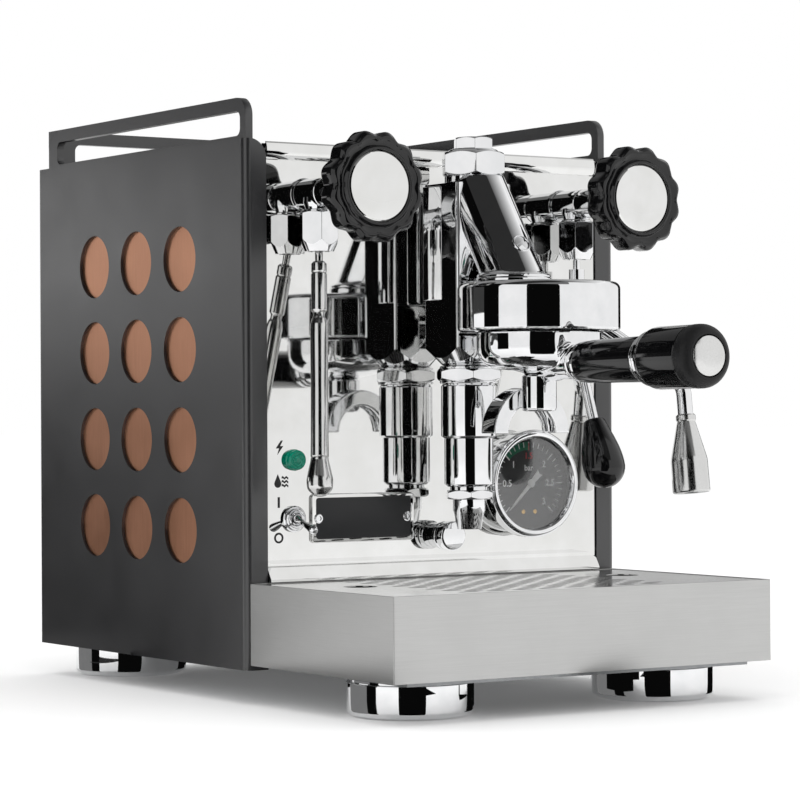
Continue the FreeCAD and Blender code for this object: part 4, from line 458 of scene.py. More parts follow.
def plate(name: str, outline: Sequence[tuple[float, float]], thick: float, where: Matrix,
          soft: float = 0.0) -> bpy.types.Object:
    """Extrude a flat outline, in millimetres.

    Args:
        name: Name of the new object.
        outline: Corners in order.
        thick: Thickness along its own Z axis.
        where: Matrix to the part's frame.
        soft: Width of a bevel round its edges.

    Returns:
        The finished object.
    """
    made = begin("plane", name, size=1.0)
    bpy.ops.mesh.merge(type="CENTER")
    bpy.ops.transform.translate(value=(*outline[0], 0))
    for one, other in zip(outline, outline[1:]):
        step = (other[0] - one[0], other[1] - one[1], 0)
        bpy.ops.mesh.extrude_vertices_move(TRANSFORM_OT_translate={"value": step})
    bpy.ops.mesh.select_all(action="SELECT")
    bpy.ops.mesh.edge_face_add()
    bpy.ops.mesh.select_all(action="SELECT")
    bpy.ops.mesh.extrude_region_move(TRANSFORM_OT_translate={"value": (0, 0, thick)})
    bpy.ops.mesh.select_all(action="SELECT")
    bpy.ops.mesh.normals_make_consistent(inside=False)
    if soft:
        soften(made, soft)
    return settle(made, where)


def rounded(wide: float, tall: float, radius: float) -> list[tuple[float, float]]:
    """Outline of an upright rectangle with round corners.

    Args:
        wide: Width.
        tall: Height.
        radius: Radius of its corners.

    Returns:
        Points in order.
    """
    points = []
    for i, (right, up) in enumerate(((1, 1), (-1, 1), (-1, -1), (1, -1))):
        for k in range(CORNER_STEPS + 1):
            angle = math.radians(90 * i + 90 / CORNER_STEPS * k)
            points.append((right * (wide / 2 - radius) + radius * math.cos(angle),
                           up * (tall / 2 - radius) + radius * math.sin(angle)))
    return points


def copied(made: bpy.types.Object, name: str, shift: Sequence[float]) -> bpy.types.Object:
    """Copy a finished piece with its own mesh.

    Args:
        made: Piece to copy.
        name: Name of the copy.
        shift: Millimetres along X, Y and Z.

    Returns:
        The copy, at the origin.
    """
    twin = made.copy()
    twin.data = made.data.copy()
    twin.name = name
    twin.data.name = name
    twin.data.transform(Matrix.Translation(Vector(shift) * MILLI))
    bpy.context.collection.objects.link(twin)
    return twin


def dress(made: bpy.types.Object, finish: Finish, body: str, *nodes: str) -> bpy.types.Object:
    """Give a piece its finish and its body.

    Args:
        made: Finished piece.
        finish: Its finish.
        body: CAD body that it moves with.
        *nodes: CAD nodes that it stands for.

    Returns:
        The same piece.
    """
    made.data.materials.clear()
    made.data.materials.append(finish.material())
    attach(made, body)
    if nodes:
        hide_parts(*nodes)
    LOG.info("%s in %s on %s", made.name, finish.name, body)
    return made


def lathe(name: str, node: str, where: Matrix, profile: Profile, steps: int = 96, finish: Finish = CHROME,
          body: str = "chassis", angle: float = 32.0) -> None:
    """Turn an outline about Z, put it in its place and dress it.

    Args:
        name: Name of the new piece.
        node: CAD node that it stands for, or nothing.
        where: Matrix to the part's frame.
        profile: Points of radius and height, with a third number for a corner's radius.
        steps: Steps round the full turn.
        finish: Its finish.
        body: CAD body that it moves with.
        angle: Edges sharper than this many degrees stay crisp.
    """
    dress(settle(turn(name, profile, steps), where, angle), finish, body,
          *([node] if node else []))


@dataclass
class Casing:
    """Panels, trays, rails and inner parts that keep their CAD shapes, and the four feet."""

    foot_radius: float = 36.6
    foot_height: float = 21.4
    foot_x: float = 88
    front_foot_y: float = -99
    rear_foot_y: float = 234.5
    band_half: float = 121.8
    band_y: float = 1.15
    band_z: float = 328.5
    band_tall: float = 10.4
    bow: float = 1.5
    rail_x: float = 128.5
    rail_y: float = 261.4
    rail_top: float = 360
    rail_corner: float = 11
    rail_plate: float = 5
    rail_bend: float = 1.6
    weld: float = 0.02
    crisp: float = 50

    def build(self) -> None:
        """Dress every CAD node, model the feet, band and rail corners, and round the folded edges."""
        for part in frame["record"]["subparts"]:
            node = frame["nodes"][part["node"]]
            node.data.materials.clear()
            # The drip grid takes the greyer copy of the mirror steel, whose darker colour is painted shade
            finish = DIMMED_GRID_STEEL if part["node"] == "drip_grid" else FINISHES[part["material_slot"]]
            node.data.materials.append(finish.material())
        self.feet()
        self.bead()
        self.corners()
        for name, width in (("drip_tray", 0.5), ("drip_grid", 0.45), ("cup_rails", 0.9)):
            self.edges(name, width)

    def bead(self) -> None:
        """Roll the cup tray's front band to a shallow bow."""
        tall, rows = self.band_tall / 2, 12
        bow = [(tall * t / rows, -self.bow * (1 - (t / rows) ** 2)) for t in range(-rows, rows + 1)]
        made = plate("tray_band", [(tall, 0.6), (-tall, 0.6), *bow], 2 * self.band_half,
                     seat(-self.band_half, self.band_y, self.band_z, Way.RIGHT))
        dress(made, MIRROR, "cup_tray")

    def corners(self) -> None:
        """Fill the side rails' rear corners, where the strip is bent round to the rear rail."""
        far, near = self.rail_corner, self.rail_corner - self.rail_bend
        arc = [(far - near * math.sin(a), near * math.cos(a) - far)
               for a in (math.pi / 2 * t / 8 for t in range(9))]
        for side in Side:
            inner = self.rail_x if side is Side.RIGHT else -self.rail_x - self.rail_plate
            made = plate(f"rail_bend_{side.name.lower()}", [(0, 0), (far, 0), *arc, (0, -far)],
                         self.rail_plate + 0.1, seat(inner - 0.05, self.rail_y, self.rail_top, Way.RIGHT))
            dress(made, PANEL, "chassis")

    def edges(self, name: str, width: float) -> None:
        """Round the sharp edges of a CAD node a little, so that they catch the light.

        Args:
            name: CAD node that gets the live modifiers.
            width: Width of the rounding in millimetres.
        """
        node = frame["nodes"][name]
        node.modifiers.new("weld", "WELD").merge_threshold = self.weld * MILLI
        bevel = node.modifiers.new("bevel", "BEVEL")
        bevel.width = width * MILLI
        bevel.segments = 3
        bevel.limit_method = "ANGLE"
        bevel.angle_limit = math.radians(self.crisp)
        bevel.harden_normals = True

    def feet(self) -> None:
        """Turn one foot with a rounded lower edge and a shadow gap on top, and copy it."""
        wide, tall = self.foot_radius, self.foot_height
        shape = turn("foot_0", [
            (0, 0), (wide - 7, 0), (wide - 6.4, 0.7), (wide - 3, 0.9), (wide, 3.2, 2.2),
            (wide, tall - 1.6, 0.5), (wide - 2.2, tall - 1.6), (wide - 2.2, tall), (0, tall)], 128)
        first = settle(shape, seat(-self.foot_x, self.front_foot_y, 0))
        deep = self.rear_foot_y - self.front_foot_y
        spots = [(2 * self.foot_x, 0), (0, deep), (2 * self.foot_x, deep)]
        dress(first, CHROME, "chassis", "feet")
        for i, (x, y) in enumerate(spots, 1):
            dress(copied(first, f"foot_{i}", (x, y, 0)), CHROME, "chassis", "feet")


def hexed(name: str, across: float, profile: Profile, where: Matrix) -> bpy.types.Object:
    """Mill six flats on a turned outline, as on a nut.

    Args:
        name: Name of the new object.
        across: Size across the flats.
        profile: Turned outline from axis to axis, or a closed one.
        where: Matrix to the part's frame.

    Returns:
        The finished object.
    """
    made = turn(name, profile)
    for i in range(6):
        angle = math.radians(30 + 60 * i)
        out = Vector((math.cos(angle), math.sin(angle), 0))
        bpy.ops.mesh.select_all(action="SELECT")
        bpy.ops.mesh.bisect(plane_co=out * (across / 2), plane_no=out, clear_outer=True, use_fill=True)
    bpy.ops.mesh.select_all(action="SELECT")
    bpy.ops.mesh.normals_make_consistent(inside=False)
    soften(made, 0.25, 2, 20)
    settle(made, where)
    modify(made, "WEIGHTED_NORMAL", keep_sharp=True)
    return made


def hex_corner(across: float) -> float:
    """Radius at the corners of a six-sided piece with a size across its flats."""
    return across / 2 / math.cos(math.pi / 6)


def nut(name: str, across: float, length: float, where: Matrix, both: bool = True) -> bpy.types.Object:
    """Make a six-sided nut whose corners are bevelled round at its ends.

    Args:
        name: Name of the new object.
        across: Size across the flats.
        length: Height of the nut.
        where: Matrix to the part's frame.
        both: Whether both ends are bevelled, or only the far one.

    Returns:
        The finished object.
    """
    corner = hex_corner(across) + 0.05
    face = across / 2 - 0.4
    slope = (corner - face) * 0.62
    start = [(0, 0), (face, 0), (corner, slope)] if both else [(0, 0), (corner, 0)]
    return hexed(name, across, start + [(corner, length - slope), (face, length), (0, length)], where)


def cast(name: str, node: str, voxel: float, rounds: int, *extra: bpy.types.Object) -> bpy.types.Object:
    """Blend a CAD node's solid, and further pieces, into one smooth casting.

    Args:
        name: Name of the new object.
        node: CAD node whose shape is copied.
        voxel: Size of the blending grid in millimetres.
        rounds: Rounds of smoothing.
        *extra: Pieces in place that melt into the casting.

    Returns:
        The finished object, at the origin.
    """
    source = frame["nodes"][node]
    made = source.copy()
    made.data = source.data.copy()
    made.name = made.data.name = name
    made.parent = None
    made.matrix_world = Matrix.Identity(4)
    bpy.context.collection.objects.link(made)
    pick(made)
    bpy.ops.object.mode_set(mode="EDIT")
    bpy.ops.mesh.select_all(action="SELECT")
    bpy.ops.mesh.remove_doubles(threshold=0.00001)
    pick(made)
    for piece in extra:
        piece.select_set(True)
    if extra:
        bpy.ops.object.join()
    modify(made, "REMESH", mode="VOXEL", voxel_size=voxel * MILLI, use_smooth_shade=True)
    modify(made, "SMOOTH", factor=0.5, iterations=rounds)
    return made


def trimmed(name: str, size: tuple[float, float, float], soft: float, profile: Profile, where: Matrix,
            middle: float) -> bpy.types.Object:
    """Trim a round-cornered block to a turned outline.

    Args:
        name: Name of the new object.
        size: Sizes of the block.
        soft: Radius of its upright edges.
        profile: Turned outline from axis to axis.
        where: Matrix to the part's frame.
        middle: Height of the block's middle.

    Returns:
        The finished object.
    """
    shape = turn(name + "_turn", profile)
    pick(shape)
    made = block(name, size, Matrix.Translation((0, 0, middle)), soft, 4)
    modify(made, "BOOLEAN", operation="INTERSECT", object=shape, solver="EXACT")
    bpy.data.objects.remove(shape, do_unlink=True)
    return settle(made, where)


@dataclass
class Group:
    """Casting with its neck and bell, the nuts on it and the lower column."""

    bell_y: float = -105
    bell_radius: float = 47.6
    bell_foot: float = 219.9
    bell_top: float = 248.2
    neck_y: float = -80
    neck_z: float = 252
    neck_foot: float = 246
    neck_radius: float = 18
    neck_run: float = 38
    neck_rise: float = 56
    plug_up: float = 12
    plug_sink: float = 1.2
    plug_turn: float = 35
    column_y: float = -33
    cap_y: float = -39
    cap_across: float = 36
    cap_height: float = 14.4
    cap_foot: float = 314.8
    jet_across: float = 22
    jet_height: float = 7.2
    jet_foot: float = 330.9
    drain_across: float = 27
    drain_height: float = 5.6
    drain_foot: float = 119.9
    collar_across: float = 36
    collar_foot: float = 190
    collar_top: float = 200.4
    upper_radius: float = 16.75
    lower_radius: float = 14.85
    upper_foot: float = 159.3
    lower_foot: float = 127.8
    column_foot: float = 125.4
    nozzle_foot: float = 101.8

    def build(self) -> None:
        """Make and dress the group."""
        self.casting()
        self.cap()
        self.column()
        self.plug()

    def casting(self) -> None:
        """Blend the casting, with its chamber sharpened to the collar, and turn the crisp bell."""
        lean = Vector((0, self.neck_run, self.neck_rise)).normalized()
        thick = self.neck_radius
        neck = settle(turn("neck_shape", [(0, -14), (thick, -14), (thick, 40), (0, 40)]),
                      seat(0, self.neck_y, self.neck_z, lean))
        bpy.ops.object.mode_set(mode="EDIT")
        bpy.ops.mesh.select_all(action="SELECT")
        bpy.ops.mesh.bisect(plane_co=(0, 0, self.neck_foot * MILLI), plane_no=(0, 0, 1), clear_inner=True,
                            use_fill=True)
        pick(neck)
        body = cast("group_casting", "group_body", 0.8, 8, neck)
        dress(body, CHROME, "chassis", "group_body")
        chamber = trimmed("chamber_skin", (39.6, 36.2, 112), 2, [
            (0, self.collar_top), (15.2, self.collar_top), (28.5, 214), (28.5, 308), (25.5, 310.2, 2),
            (0, 310.2)], seat(0, -32.5, 0), 257)
        dress(chamber, CHROME, "chassis", "group_body")
        pad = block("chamber_pad", (4, 16.5, 69), seat(-19.4, -25.6, 274.5, Way.UP, 11), 0.8)
        dress(pad, CHROME, "chassis", "group_body")
        wide = self.bell_radius
        lathe("group_bell", "group_body", seat(0, self.bell_y, 0), [
            (38, self.bell_foot + 4), (38, self.bell_foot), (wide - 1.2, self.bell_foot),
            (wide, self.bell_foot + 1.2, 0.8), (wide, self.bell_top, 4.2), (20, self.bell_top),
            (20, self.bell_top - 2), (wide - 6, self.bell_top - 2), (wide - 2, self.bell_top - 6),
            (wide - 2, self.bell_foot + 4), (38, self.bell_foot + 4)], 160)
        lathe("neck_ring", "group_body", seat(0, self.neck_y, 0), [
            (0, self.neck_foot), (22.6, self.neck_foot), (22.6, 251.4, 2.2), (19.6, 254.6, 1.2),
            (16, 254.8), (0, 254.8)], 128)

    def cap(self) -> None:
        """Make the cap nut, its round shoulder and the jet plug on top."""
        made = nut("cap_nut", self.cap_across, self.cap_height, seat(0, self.cap_y, self.cap_foot))
        dress(made, CHROME, "chassis", "mushroom_nut")
        lathe("cap_shoulder", "mushroom_nut", seat(0, self.cap_y, 0), [
            (0, 328.6), (16.6, 328.6), (14.4, 330.6, 1), (13, 331.2, 0.4), (0, 331.2)])
        made = nut("jet_nut", self.jet_across, self.jet_height, seat(0, self.cap_y, self.jet_foot), False)
        dress(made, CHROME, "chassis", "group_plugs")
        lathe("cap_seat", "group_body", seat(0, self.cap_y, 0), [
            (0, 311), (17.4, 311), (17.4, 314.9, 0.8), (0, 314.9)])

    def column(self) -> None:
        """Make the collar nut, the stepped column, the drain nut and the nozzle."""
        here = seat(0, self.column_y, 0)
        foot, top = self.collar_foot, self.collar_top
        corner = hex_corner(self.collar_across)
        collar = hexed("column_collar", self.collar_across, [
            (0, foot + 1), (17, foot + 1), (corner, foot + 3.3), (corner, top - 3.3), (17, top - 1),
            (0, top - 1)], seat(0, self.column_y, 0, Way.UP, 3))
        dress(collar, CHROME, "chassis", "infusion_chamber")
        lathe("column_rims", "infusion_chamber", here, [
            (0, foot - 0.2), (17.2, foot - 0.2, 0.4), (17.6, foot + 0.6, 0.4), (17.2, foot + 1.4, 0.4),
            (15.5, foot + 1.6), (15.5, top - 1.6), (17.2, top - 1.6, 0.4), (17.6, top - 0.8, 0.4),
            (17, top, 0.4), (0, top)])
        up, low = self.upper_radius, self.lower_radius
        lathe("stepped_column", "infusion_chamber", here, [
            (0, self.column_foot), (11.5, self.column_foot), (11.5, self.lower_foot - 0.3),
            (low - 1.6, self.lower_foot - 0.3), (low, self.lower_foot + 1.2, 0.5),
            (low, self.upper_foot - 2.6), (up - 1.4, self.upper_foot - 2.4, 0.3),
            (up, self.upper_foot - 1.2, 0.4), (up, foot - 1.8), (up - 0.8, foot - 1, 0.3), (15.6, foot),
            (0, foot)], 128, angle=24)
        made = nut("drain_nut", self.drain_across, self.drain_height, seat(0, self.column_y, self.drain_foot))
        dress(made, CHROME, "chassis", "drain_nozzle")
        lathe("drain_tip", "drain_nozzle", here, [
            (0, 104), (3.5, 104), (3.5, self.nozzle_foot), (7.2, self.nozzle_foot),
            (7.5, self.nozzle_foot + 0.5), (9.2, 111.5), (9.9, 113), (9.9, 120.2), (0, 120.2)])

    def plug(self) -> None:
        """Set the slotted plug in its recess in the neck's front."""
        lean = math.atan2(self.neck_run, self.neck_rise)
        out = Vector((0, -math.cos(lean), math.sin(lean)))
        along = Vector((0, math.sin(lean), math.cos(lean)))
        spot = Vector((0, self.neck_y, self.neck_z)) + along * self.plug_up + out * self.neck_radius
        here = seat(*(spot - out * self.plug_sink), out, self.plug_turn)
        lathe("plug_rim", "group_plugs", here, [
            (0, -4), (5.9, -4), (5.9, 1.5, 0.4), (5.2, 2.0, 0.3), (4.8, 1.2), (4.8, 0.2), (0, 0.2)], 64)
        head = turn("plug_screw", [(0, -1), (4.5, -1), (4.5, 1.2, 0.4), (0, 1.6)], 48)
        pick(head)
        slot = block("plug_slot", (11, 1.5, 2), Matrix.Translation((0, 0, 1.6)), 0.1, 1)
        modify(head, "BOOLEAN", operation="DIFFERENCE", object=slot, solver="EXACT")
        bpy.data.objects.remove(slot, do_unlink=True)
        dress(settle(head, here), CHROME, "chassis", "group_plugs")


@dataclass
class BrewLever:
    """Bush on the group, the cranked lever and its drop-shaped knob."""

    pivot_x: float = 78
    pivot_y: float = -33
    pivot_z: float = 228
    bush_x: float = 30
    bush_across: float = 26
    bush_length: float = 13.8
    lean: float = 20
    knob_start: float = 65
    knob_length: float = 43
    knob_radius: float = 12.9
    knob_neck: float = 6.9

    def build(self) -> None:
        """Make and dress the lever."""
        bush = nut("cam_nut", self.bush_across, self.bush_length,
                   seat(self.bush_x, self.pivot_y, self.pivot_z, Way.RIGHT))
        dress(bush, CHROME, "chassis", "cam_bush")
        lathe("cam_rod", "lever_shaft", seat(0, self.pivot_y, self.pivot_z, Way.RIGHT), [
            (0, 0), (6, 0), (6, self.pivot_x - 8), (0, self.pivot_x - 8)], 64, body="brew_lever")
        lathe("lever_hub", "lever_shaft", seat(self.pivot_x, self.pivot_y, self.pivot_z, Way.RIGHT), [
            (0, -9), (7.4, -9), (9, -7.4, 1.2), (9, 7.2, 1.6), (6.5, 8.5, 1),
            (0, 9)], 64, body="brew_lever")
        tilt = math.radians(self.lean)
        down = Vector((0, -math.sin(tilt), -math.cos(tilt)))
        here = seat(self.pivot_x, self.pivot_y, self.pivot_z, down)
        lathe("lever_rod", "lever_shaft", here, [
            (0, 6), (4.6, 6), (4.6, 11, 0.6), (3.3, 13), (3.3, 76), (0, 76)], 48, body="brew_lever")
        start, long, wide = self.knob_start, self.knob_length, self.knob_radius
        slim, rows = self.knob_neck, 16
        swell = [(slim + (wide - slim) * math.sin(math.pi / 2 * t / rows) ** 1.15,
                  start + 0.9 + (long - wide - 1.4) * t / rows) for t in range(rows + 1)]
        middle = start + long - wide
        end = [(wide * math.cos(a), middle + wide * math.sin(a))
               for a in (math.pi / 2 * t / 12 for t in range(1, 12))]
        lathe("lever_drop", "lever_knob", here, [
            (0, start), (6, start), *swell, *end,
            (0, start + long)], finish=GLOSS, body="brew_lever", angle=40)


@dataclass
class Portafilter:
    """Bowl, double spout and the handle in its five parts."""

    bowl_y: float = -105
    bowl_radius: float = 36.5
    bowl_top: float = 219.6
    handle_z: float = 200.3
    rise: float = 0.8

    def build(self) -> None:
        """Make and dress the portafilter."""
        self.bowl()
        self.spout()
        self.handle()

    def along(self) -> Matrix:
        """Place of the handle's own axis, from the bowl's middle to the front."""
        tilt = math.radians(self.rise)
        return seat(0, self.bowl_y, self.handle_z, Vector((0, -math.cos(tilt), math.sin(tilt))))

    def bowl(self) -> None:
        """Turn the bowl's outside and melt the handle's lug into it."""
        wide = self.bowl_radius
        here = seat(0, self.bowl_y, 0)
        bowl = settle(turn("bowl_shape", [
            (0, 194.8), (9.4, 194.8), (22, 197.4, 14), (wide - 0.6, 204.6, 13),
            (wide, self.bowl_top), (wide - 3, self.bowl_top), (wide - 3, 214), (0, 210)], 144), here, 60)
        lug = settle(turn("lug_shape", [
            (0, 14), (10.5, 14), (9, 28, 12), (8.4, 34, 6), (9.6, 37.4), (0, 37.4)]), self.along(), 60)
        body = cast("bowl_casting", "portafilter_body", 0.75, 5, bowl, lug)
        dress(body, CHROME, "portafilter", "portafilter_body")
        lathe("bowl_neck", "portafilter_body", here, [
            (0, 193.4), (8.2, 193.4), (8.2, 195), (9.4, 195.4, 0.4), (9.4, 197.2, 0.4), (8.6, 198.4),
            (8.6, 200), (0, 200)], 64, body="portafilter")

    def spout(self) -> None:
        """Blend the double spout and turn its crisp hub."""
        dress(cast("spout_casting", "portafilter_spout", 0.5, 4), CHROME, "portafilter", "portafilter_spout")
        lathe("spout_hub", "portafilter_spout", seat(0, self.bowl_y, 0), [
            (0, 172.8), (8.6, 172.8), (10.2, 174.4, 1.2), (10.2, 193.2, 0.8), (9, 194.2),
            (0, 194.2)], body="portafilter")

    def handle(self) -> None:
        """Turn the ferrule, grips, ring, end collar and dome."""
        here = self.along()
        parts = (
            ("handle_ferrule", CHROME, "handle_trim", [
                (0, 36), (9.4, 36), (10.6, 36.8, 0.5), (10.6, 39, 0.5), (9.9, 39.8), (11.4, 41.2, 0.6),
                (11.7, 44.8, 0.6), (11.2, 45.9), (0, 45.9)]),
            ("handle_barrel", GLOSS, "handle_grip", [
                (0, 45.6), (10.8, 45.6), (12, 46.8, 1.2), (12.3, 55, 30), (13, 100.1, 0.8), (12.2, 101.5),
                (0, 101.5)]),
            ("handle_ring", CHROME, "handle_trim", [
                (0, 101.1), (12.8, 101.1), (13.8, 101.9, 0.5), (13.8, 103.7, 0.5), (13.3, 104.2),
                (14.6, 104.8, 0.5), (15.7, 106.5, 0.6), (15.4, 108.1), (0, 108.1)]),
            ("handle_thick_grip", GLOSS, "handle_front", [
                (0, 107.9), (15.2, 107.9), (17.4, 112.6, 3.4), (17.4, 143.9, 0.4), (17, 144.5), (0, 144.5)]),
            ("handle_end_ring", MATTE, "handle_end_collar", [
                (0, 144.3), (17.0, 144.3), (17.6, 145.1, 0.5), (17.6, 154.5, 6.5), (12, 155.1, 1.2),
                (11.4, 152.5), (0, 152.5)]),
            ("handle_dome", GROUND, "handle_trim", [
                (0, 151.8), (11.2, 151.8), (11.2, 155, 0.7), (7.5, 156.6, 12), (0, 157.1)]),
        )
        for name, finish, node, profile in parts:
            lathe(name, node, here, profile, finish=finish, body="portafilter")


@dataclass
class Valve:
    """One valve with its bonnet, outlet nut, lobed knob and bare cap."""

    side: Side
    body: str
    axis_x: float = 95.5
    axis_z: float = 302.5
    outlet_y: float = -15.5
    outlet_across: float = 21.3
    lobes: int = 12
    phases: int = 16
    knob_back: float = 65.2
    knob_front: float = 82
    knob_radius: float = 32.6
    sink: float = 2.7
    levels: int = 4
    plain_radius: float = 23.5

    def build(self) -> None:
        """Make and dress the valve."""
        self.label = "steam" if self.side is Side.LEFT else "water"
        self.x = self.side.value * self.axis_x
        self.nut_turn = -2 - 8 * self.side.value
        self.here = seat(self.x, 0, self.axis_z, Way.FRONT)
        self.tube()
        self.knob()

    def tube(self) -> None:
        """Turn the valve's tube and outlet, and cut its nuts."""
        name = self.label
        lathe(name + "_valve_tube", "valve_bodies", self.here, [
            (0, -1.1), (10.2, -1.1), (10.2, 0.4, 0.4), (9.2, 1), (9.2, 24, 0.2), (8.9, 24.3), (8.9, 24.9),
            (9.2, 25.2, 0.2), (9.2, 40), (0, 40)], 80)
        under = seat(self.x, self.outlet_y, 0)
        lathe(name + "_outlet", "valve_bodies", under, [
            (0, 290), (8.2, 290), (8.2, 294), (9.2, 297, 2), (9.2, 300), (0, 300)], 64)
        lathe(name + "_bonnet", "bonnet_nuts", self.here, [
            (0, 39.6), (9.2, 39.6), (9.6, 40.4, 0.3), (9.6, 49, 4), (12.8, 57.2, 0.6), (0, 57.4)], 80)
        corner = hex_corner(self.outlet_across) + 0.05
        foot = hexed(name + "_outlet_nut", self.outlet_across, [
            (6.6, 268), (8.8, 268), (corner, 275.6), (corner, 290.6), (10.3, 291.7), (0, 291.7), (0, 282.8),
            (8.0, 282.8), (8.0, 271), (6.6, 271), (6.6, 268)],
            seat(self.x, self.outlet_y, 0, Way.UP, self.nut_turn))
        dress(foot, CHROME, "chassis", "outlet_nuts")
        lathe(name + "_outlet_rim", "valve_bodies", under, [
            (0, 291.2), (9.4, 291.2), (9.4, 292.6, 0.4), (8.4, 293.2), (0, 293.2)], 64)

    def reach(self, phase: int) -> float:
        """Share of the full radius that the knob's waved rim has at a step from a hollow's middle."""
        wave = 0.5 - 0.5 * math.cos(math.tau * phase / self.phases)
        return 1 - self.sink / self.knob_radius * (1 - wave ** 0.8)

    def draw_in(self, made: bpy.types.Object, level: int, phase: int) -> None:
        """Draw in the knob's vertices that lie at one step of its wave and on one band of its rim.

        Args:
            made: Turned knob, in edit mode.
            level: Band, from one beside the cap's ring to the full depth at the rim.
            phase: Step from the middle of a hollow.
        """
        share = 1 - (1 - self.reach(phase)) * level / self.levels
        band = (self.knob_radius - self.plain_radius) / self.levels
        step = math.tau / self.lobes / self.phases
        bpy.ops.mesh.select_all(action="DESELECT")
        bpy.ops.object.mode_set(mode="OBJECT")
        for vertex in made.data.vertices:
            radius = math.hypot(vertex.co.x, vertex.co.y) - self.plain_radius
            turned_by = round(math.atan2(vertex.co.y, vertex.co.x) / step) % self.phases
            vertex.select = radius > 0.01 and math.ceil(radius / band - 0.001) == level and turned_by == phase
        bpy.ops.object.mode_set(mode="EDIT")
        bpy.ops.transform.resize(value=(share, share, 1), center_override=(0, 0, 0))

    def knob(self) -> None:
        """Turn the knob, draw in its hollows and set the bare cap in its raised ring."""
        name, wide, front, back = self.label, self.knob_radius, self.knob_front, self.knob_back
        made = turn(name + "_lobed_knob", [
            (0, back - 6.8), (12, back - 6.8), (13, back - 5.6, 0.8), (13, back - 0.4, 0.6), (17, back),
            (wide - 3, back, 1.5), (wide, back + 3.5, 2.5), (wide, front - 3.6, 3.2),
            (wide - 3.4, front - 0.2, 3), (27, front - 1.2, 3), (24.4, front - 2, 1.6),
            (23.1, front - 0.8, 0.8), (22.4, front + 0.6, 0.5), (21.2, front + 0.5, 0.4), (20.8, front - 1.5),
            (0, front - 1.5)],
            self.lobes * self.phases)
        for level in range(1, self.levels + 1):
            for phase in range(self.phases):
                self.draw_in(made, level, phase)
        dress(settle(made, self.here, 60), GLOSS, self.body, name + "_knob")
        lathe(name + "_bare_cap", name + "_knob_cap", self.here, [
            (0, front - 1.6), (20.7, front - 1.6), (20.7, front - 0.8), (19.6, front - 0.1, 0.5),
            (10, front + 0.7, 60), (0, front + 0.95)], 128, finish=MIRROR, body=self.body)


@dataclass
class Wands:
    """Straight steam wand with its drop-shaped tip, and the water wand's flared tip."""

    ball: tuple[float, float, float] = (-95.5, -15.5, 274.8)
    tip: tuple[float, float, float] = (-112.2, -42, 124)
    water_end: tuple[float, float, float] = (152, -53.4, 170)
    water_way: tuple[float, float, float] = (0, -2.4, -20)

    def build(self) -> None:
        """Make and dress the wands."""
        way = Vector(self.tip) - Vector(self.ball)
        here = seat(*self.ball, way)
        long = way.length
        lathe("steam_bar", "steam_wand", here, [
            (0, -7.4), (3.2, -6.7), (5.2, -5.2), (6.7, -3.2), (7.4, 0), (6.7, 3.2), (5.2, 5.2), (2.4, 7.0),
            (2.25, 12.9), (3.6, 13.4, 0.3), (4.6, 14.6, 0.5), (4.6, 19.4, 0.4), (4.0, 20.2),
            (4.75, 21, 0.3), (4.75, 43, 1), (3.5, 44.4), (3.5, 46.6), (4.4, 48, 1.2), (5.25, 51.5, 3),
            (5.4, 60, 30), (5.1, 88, 60), (5.35, 130.6, 0.6), (4.6, 131.4),
            (0, 131.4)], 64, finish=GROUND, body="steam_wand", angle=40)
        lathe("steam_drop", "steam_tip", here, [
            (0, 131), (4.6, 131), (5.3, 131.6, 0.4), (5.4, 133, 1), (8, 144.5, 12), (7.4, 150, 4),
            (3.6, long - 0.4, 2), (0, long)], 72, finish=GROUND, body="steam_wand", angle=45)
        lathe("water_flare", "water_tip", seat(*self.water_end, Vector(self.water_way)), [
            (0, -0.4), (5.4, -0.4), (6.3, 0.4, 0.4), (6.3, 3.4, 0.4), (5.7, 4.2), (6.0, 5), (11.6, 28, 14),
            (11.8, 48.2, 0.4), (11.2, 49), (4.6, 49), (4.6, 45),
            (0, 45)], 80, finish=GROUND, body="water_wand")


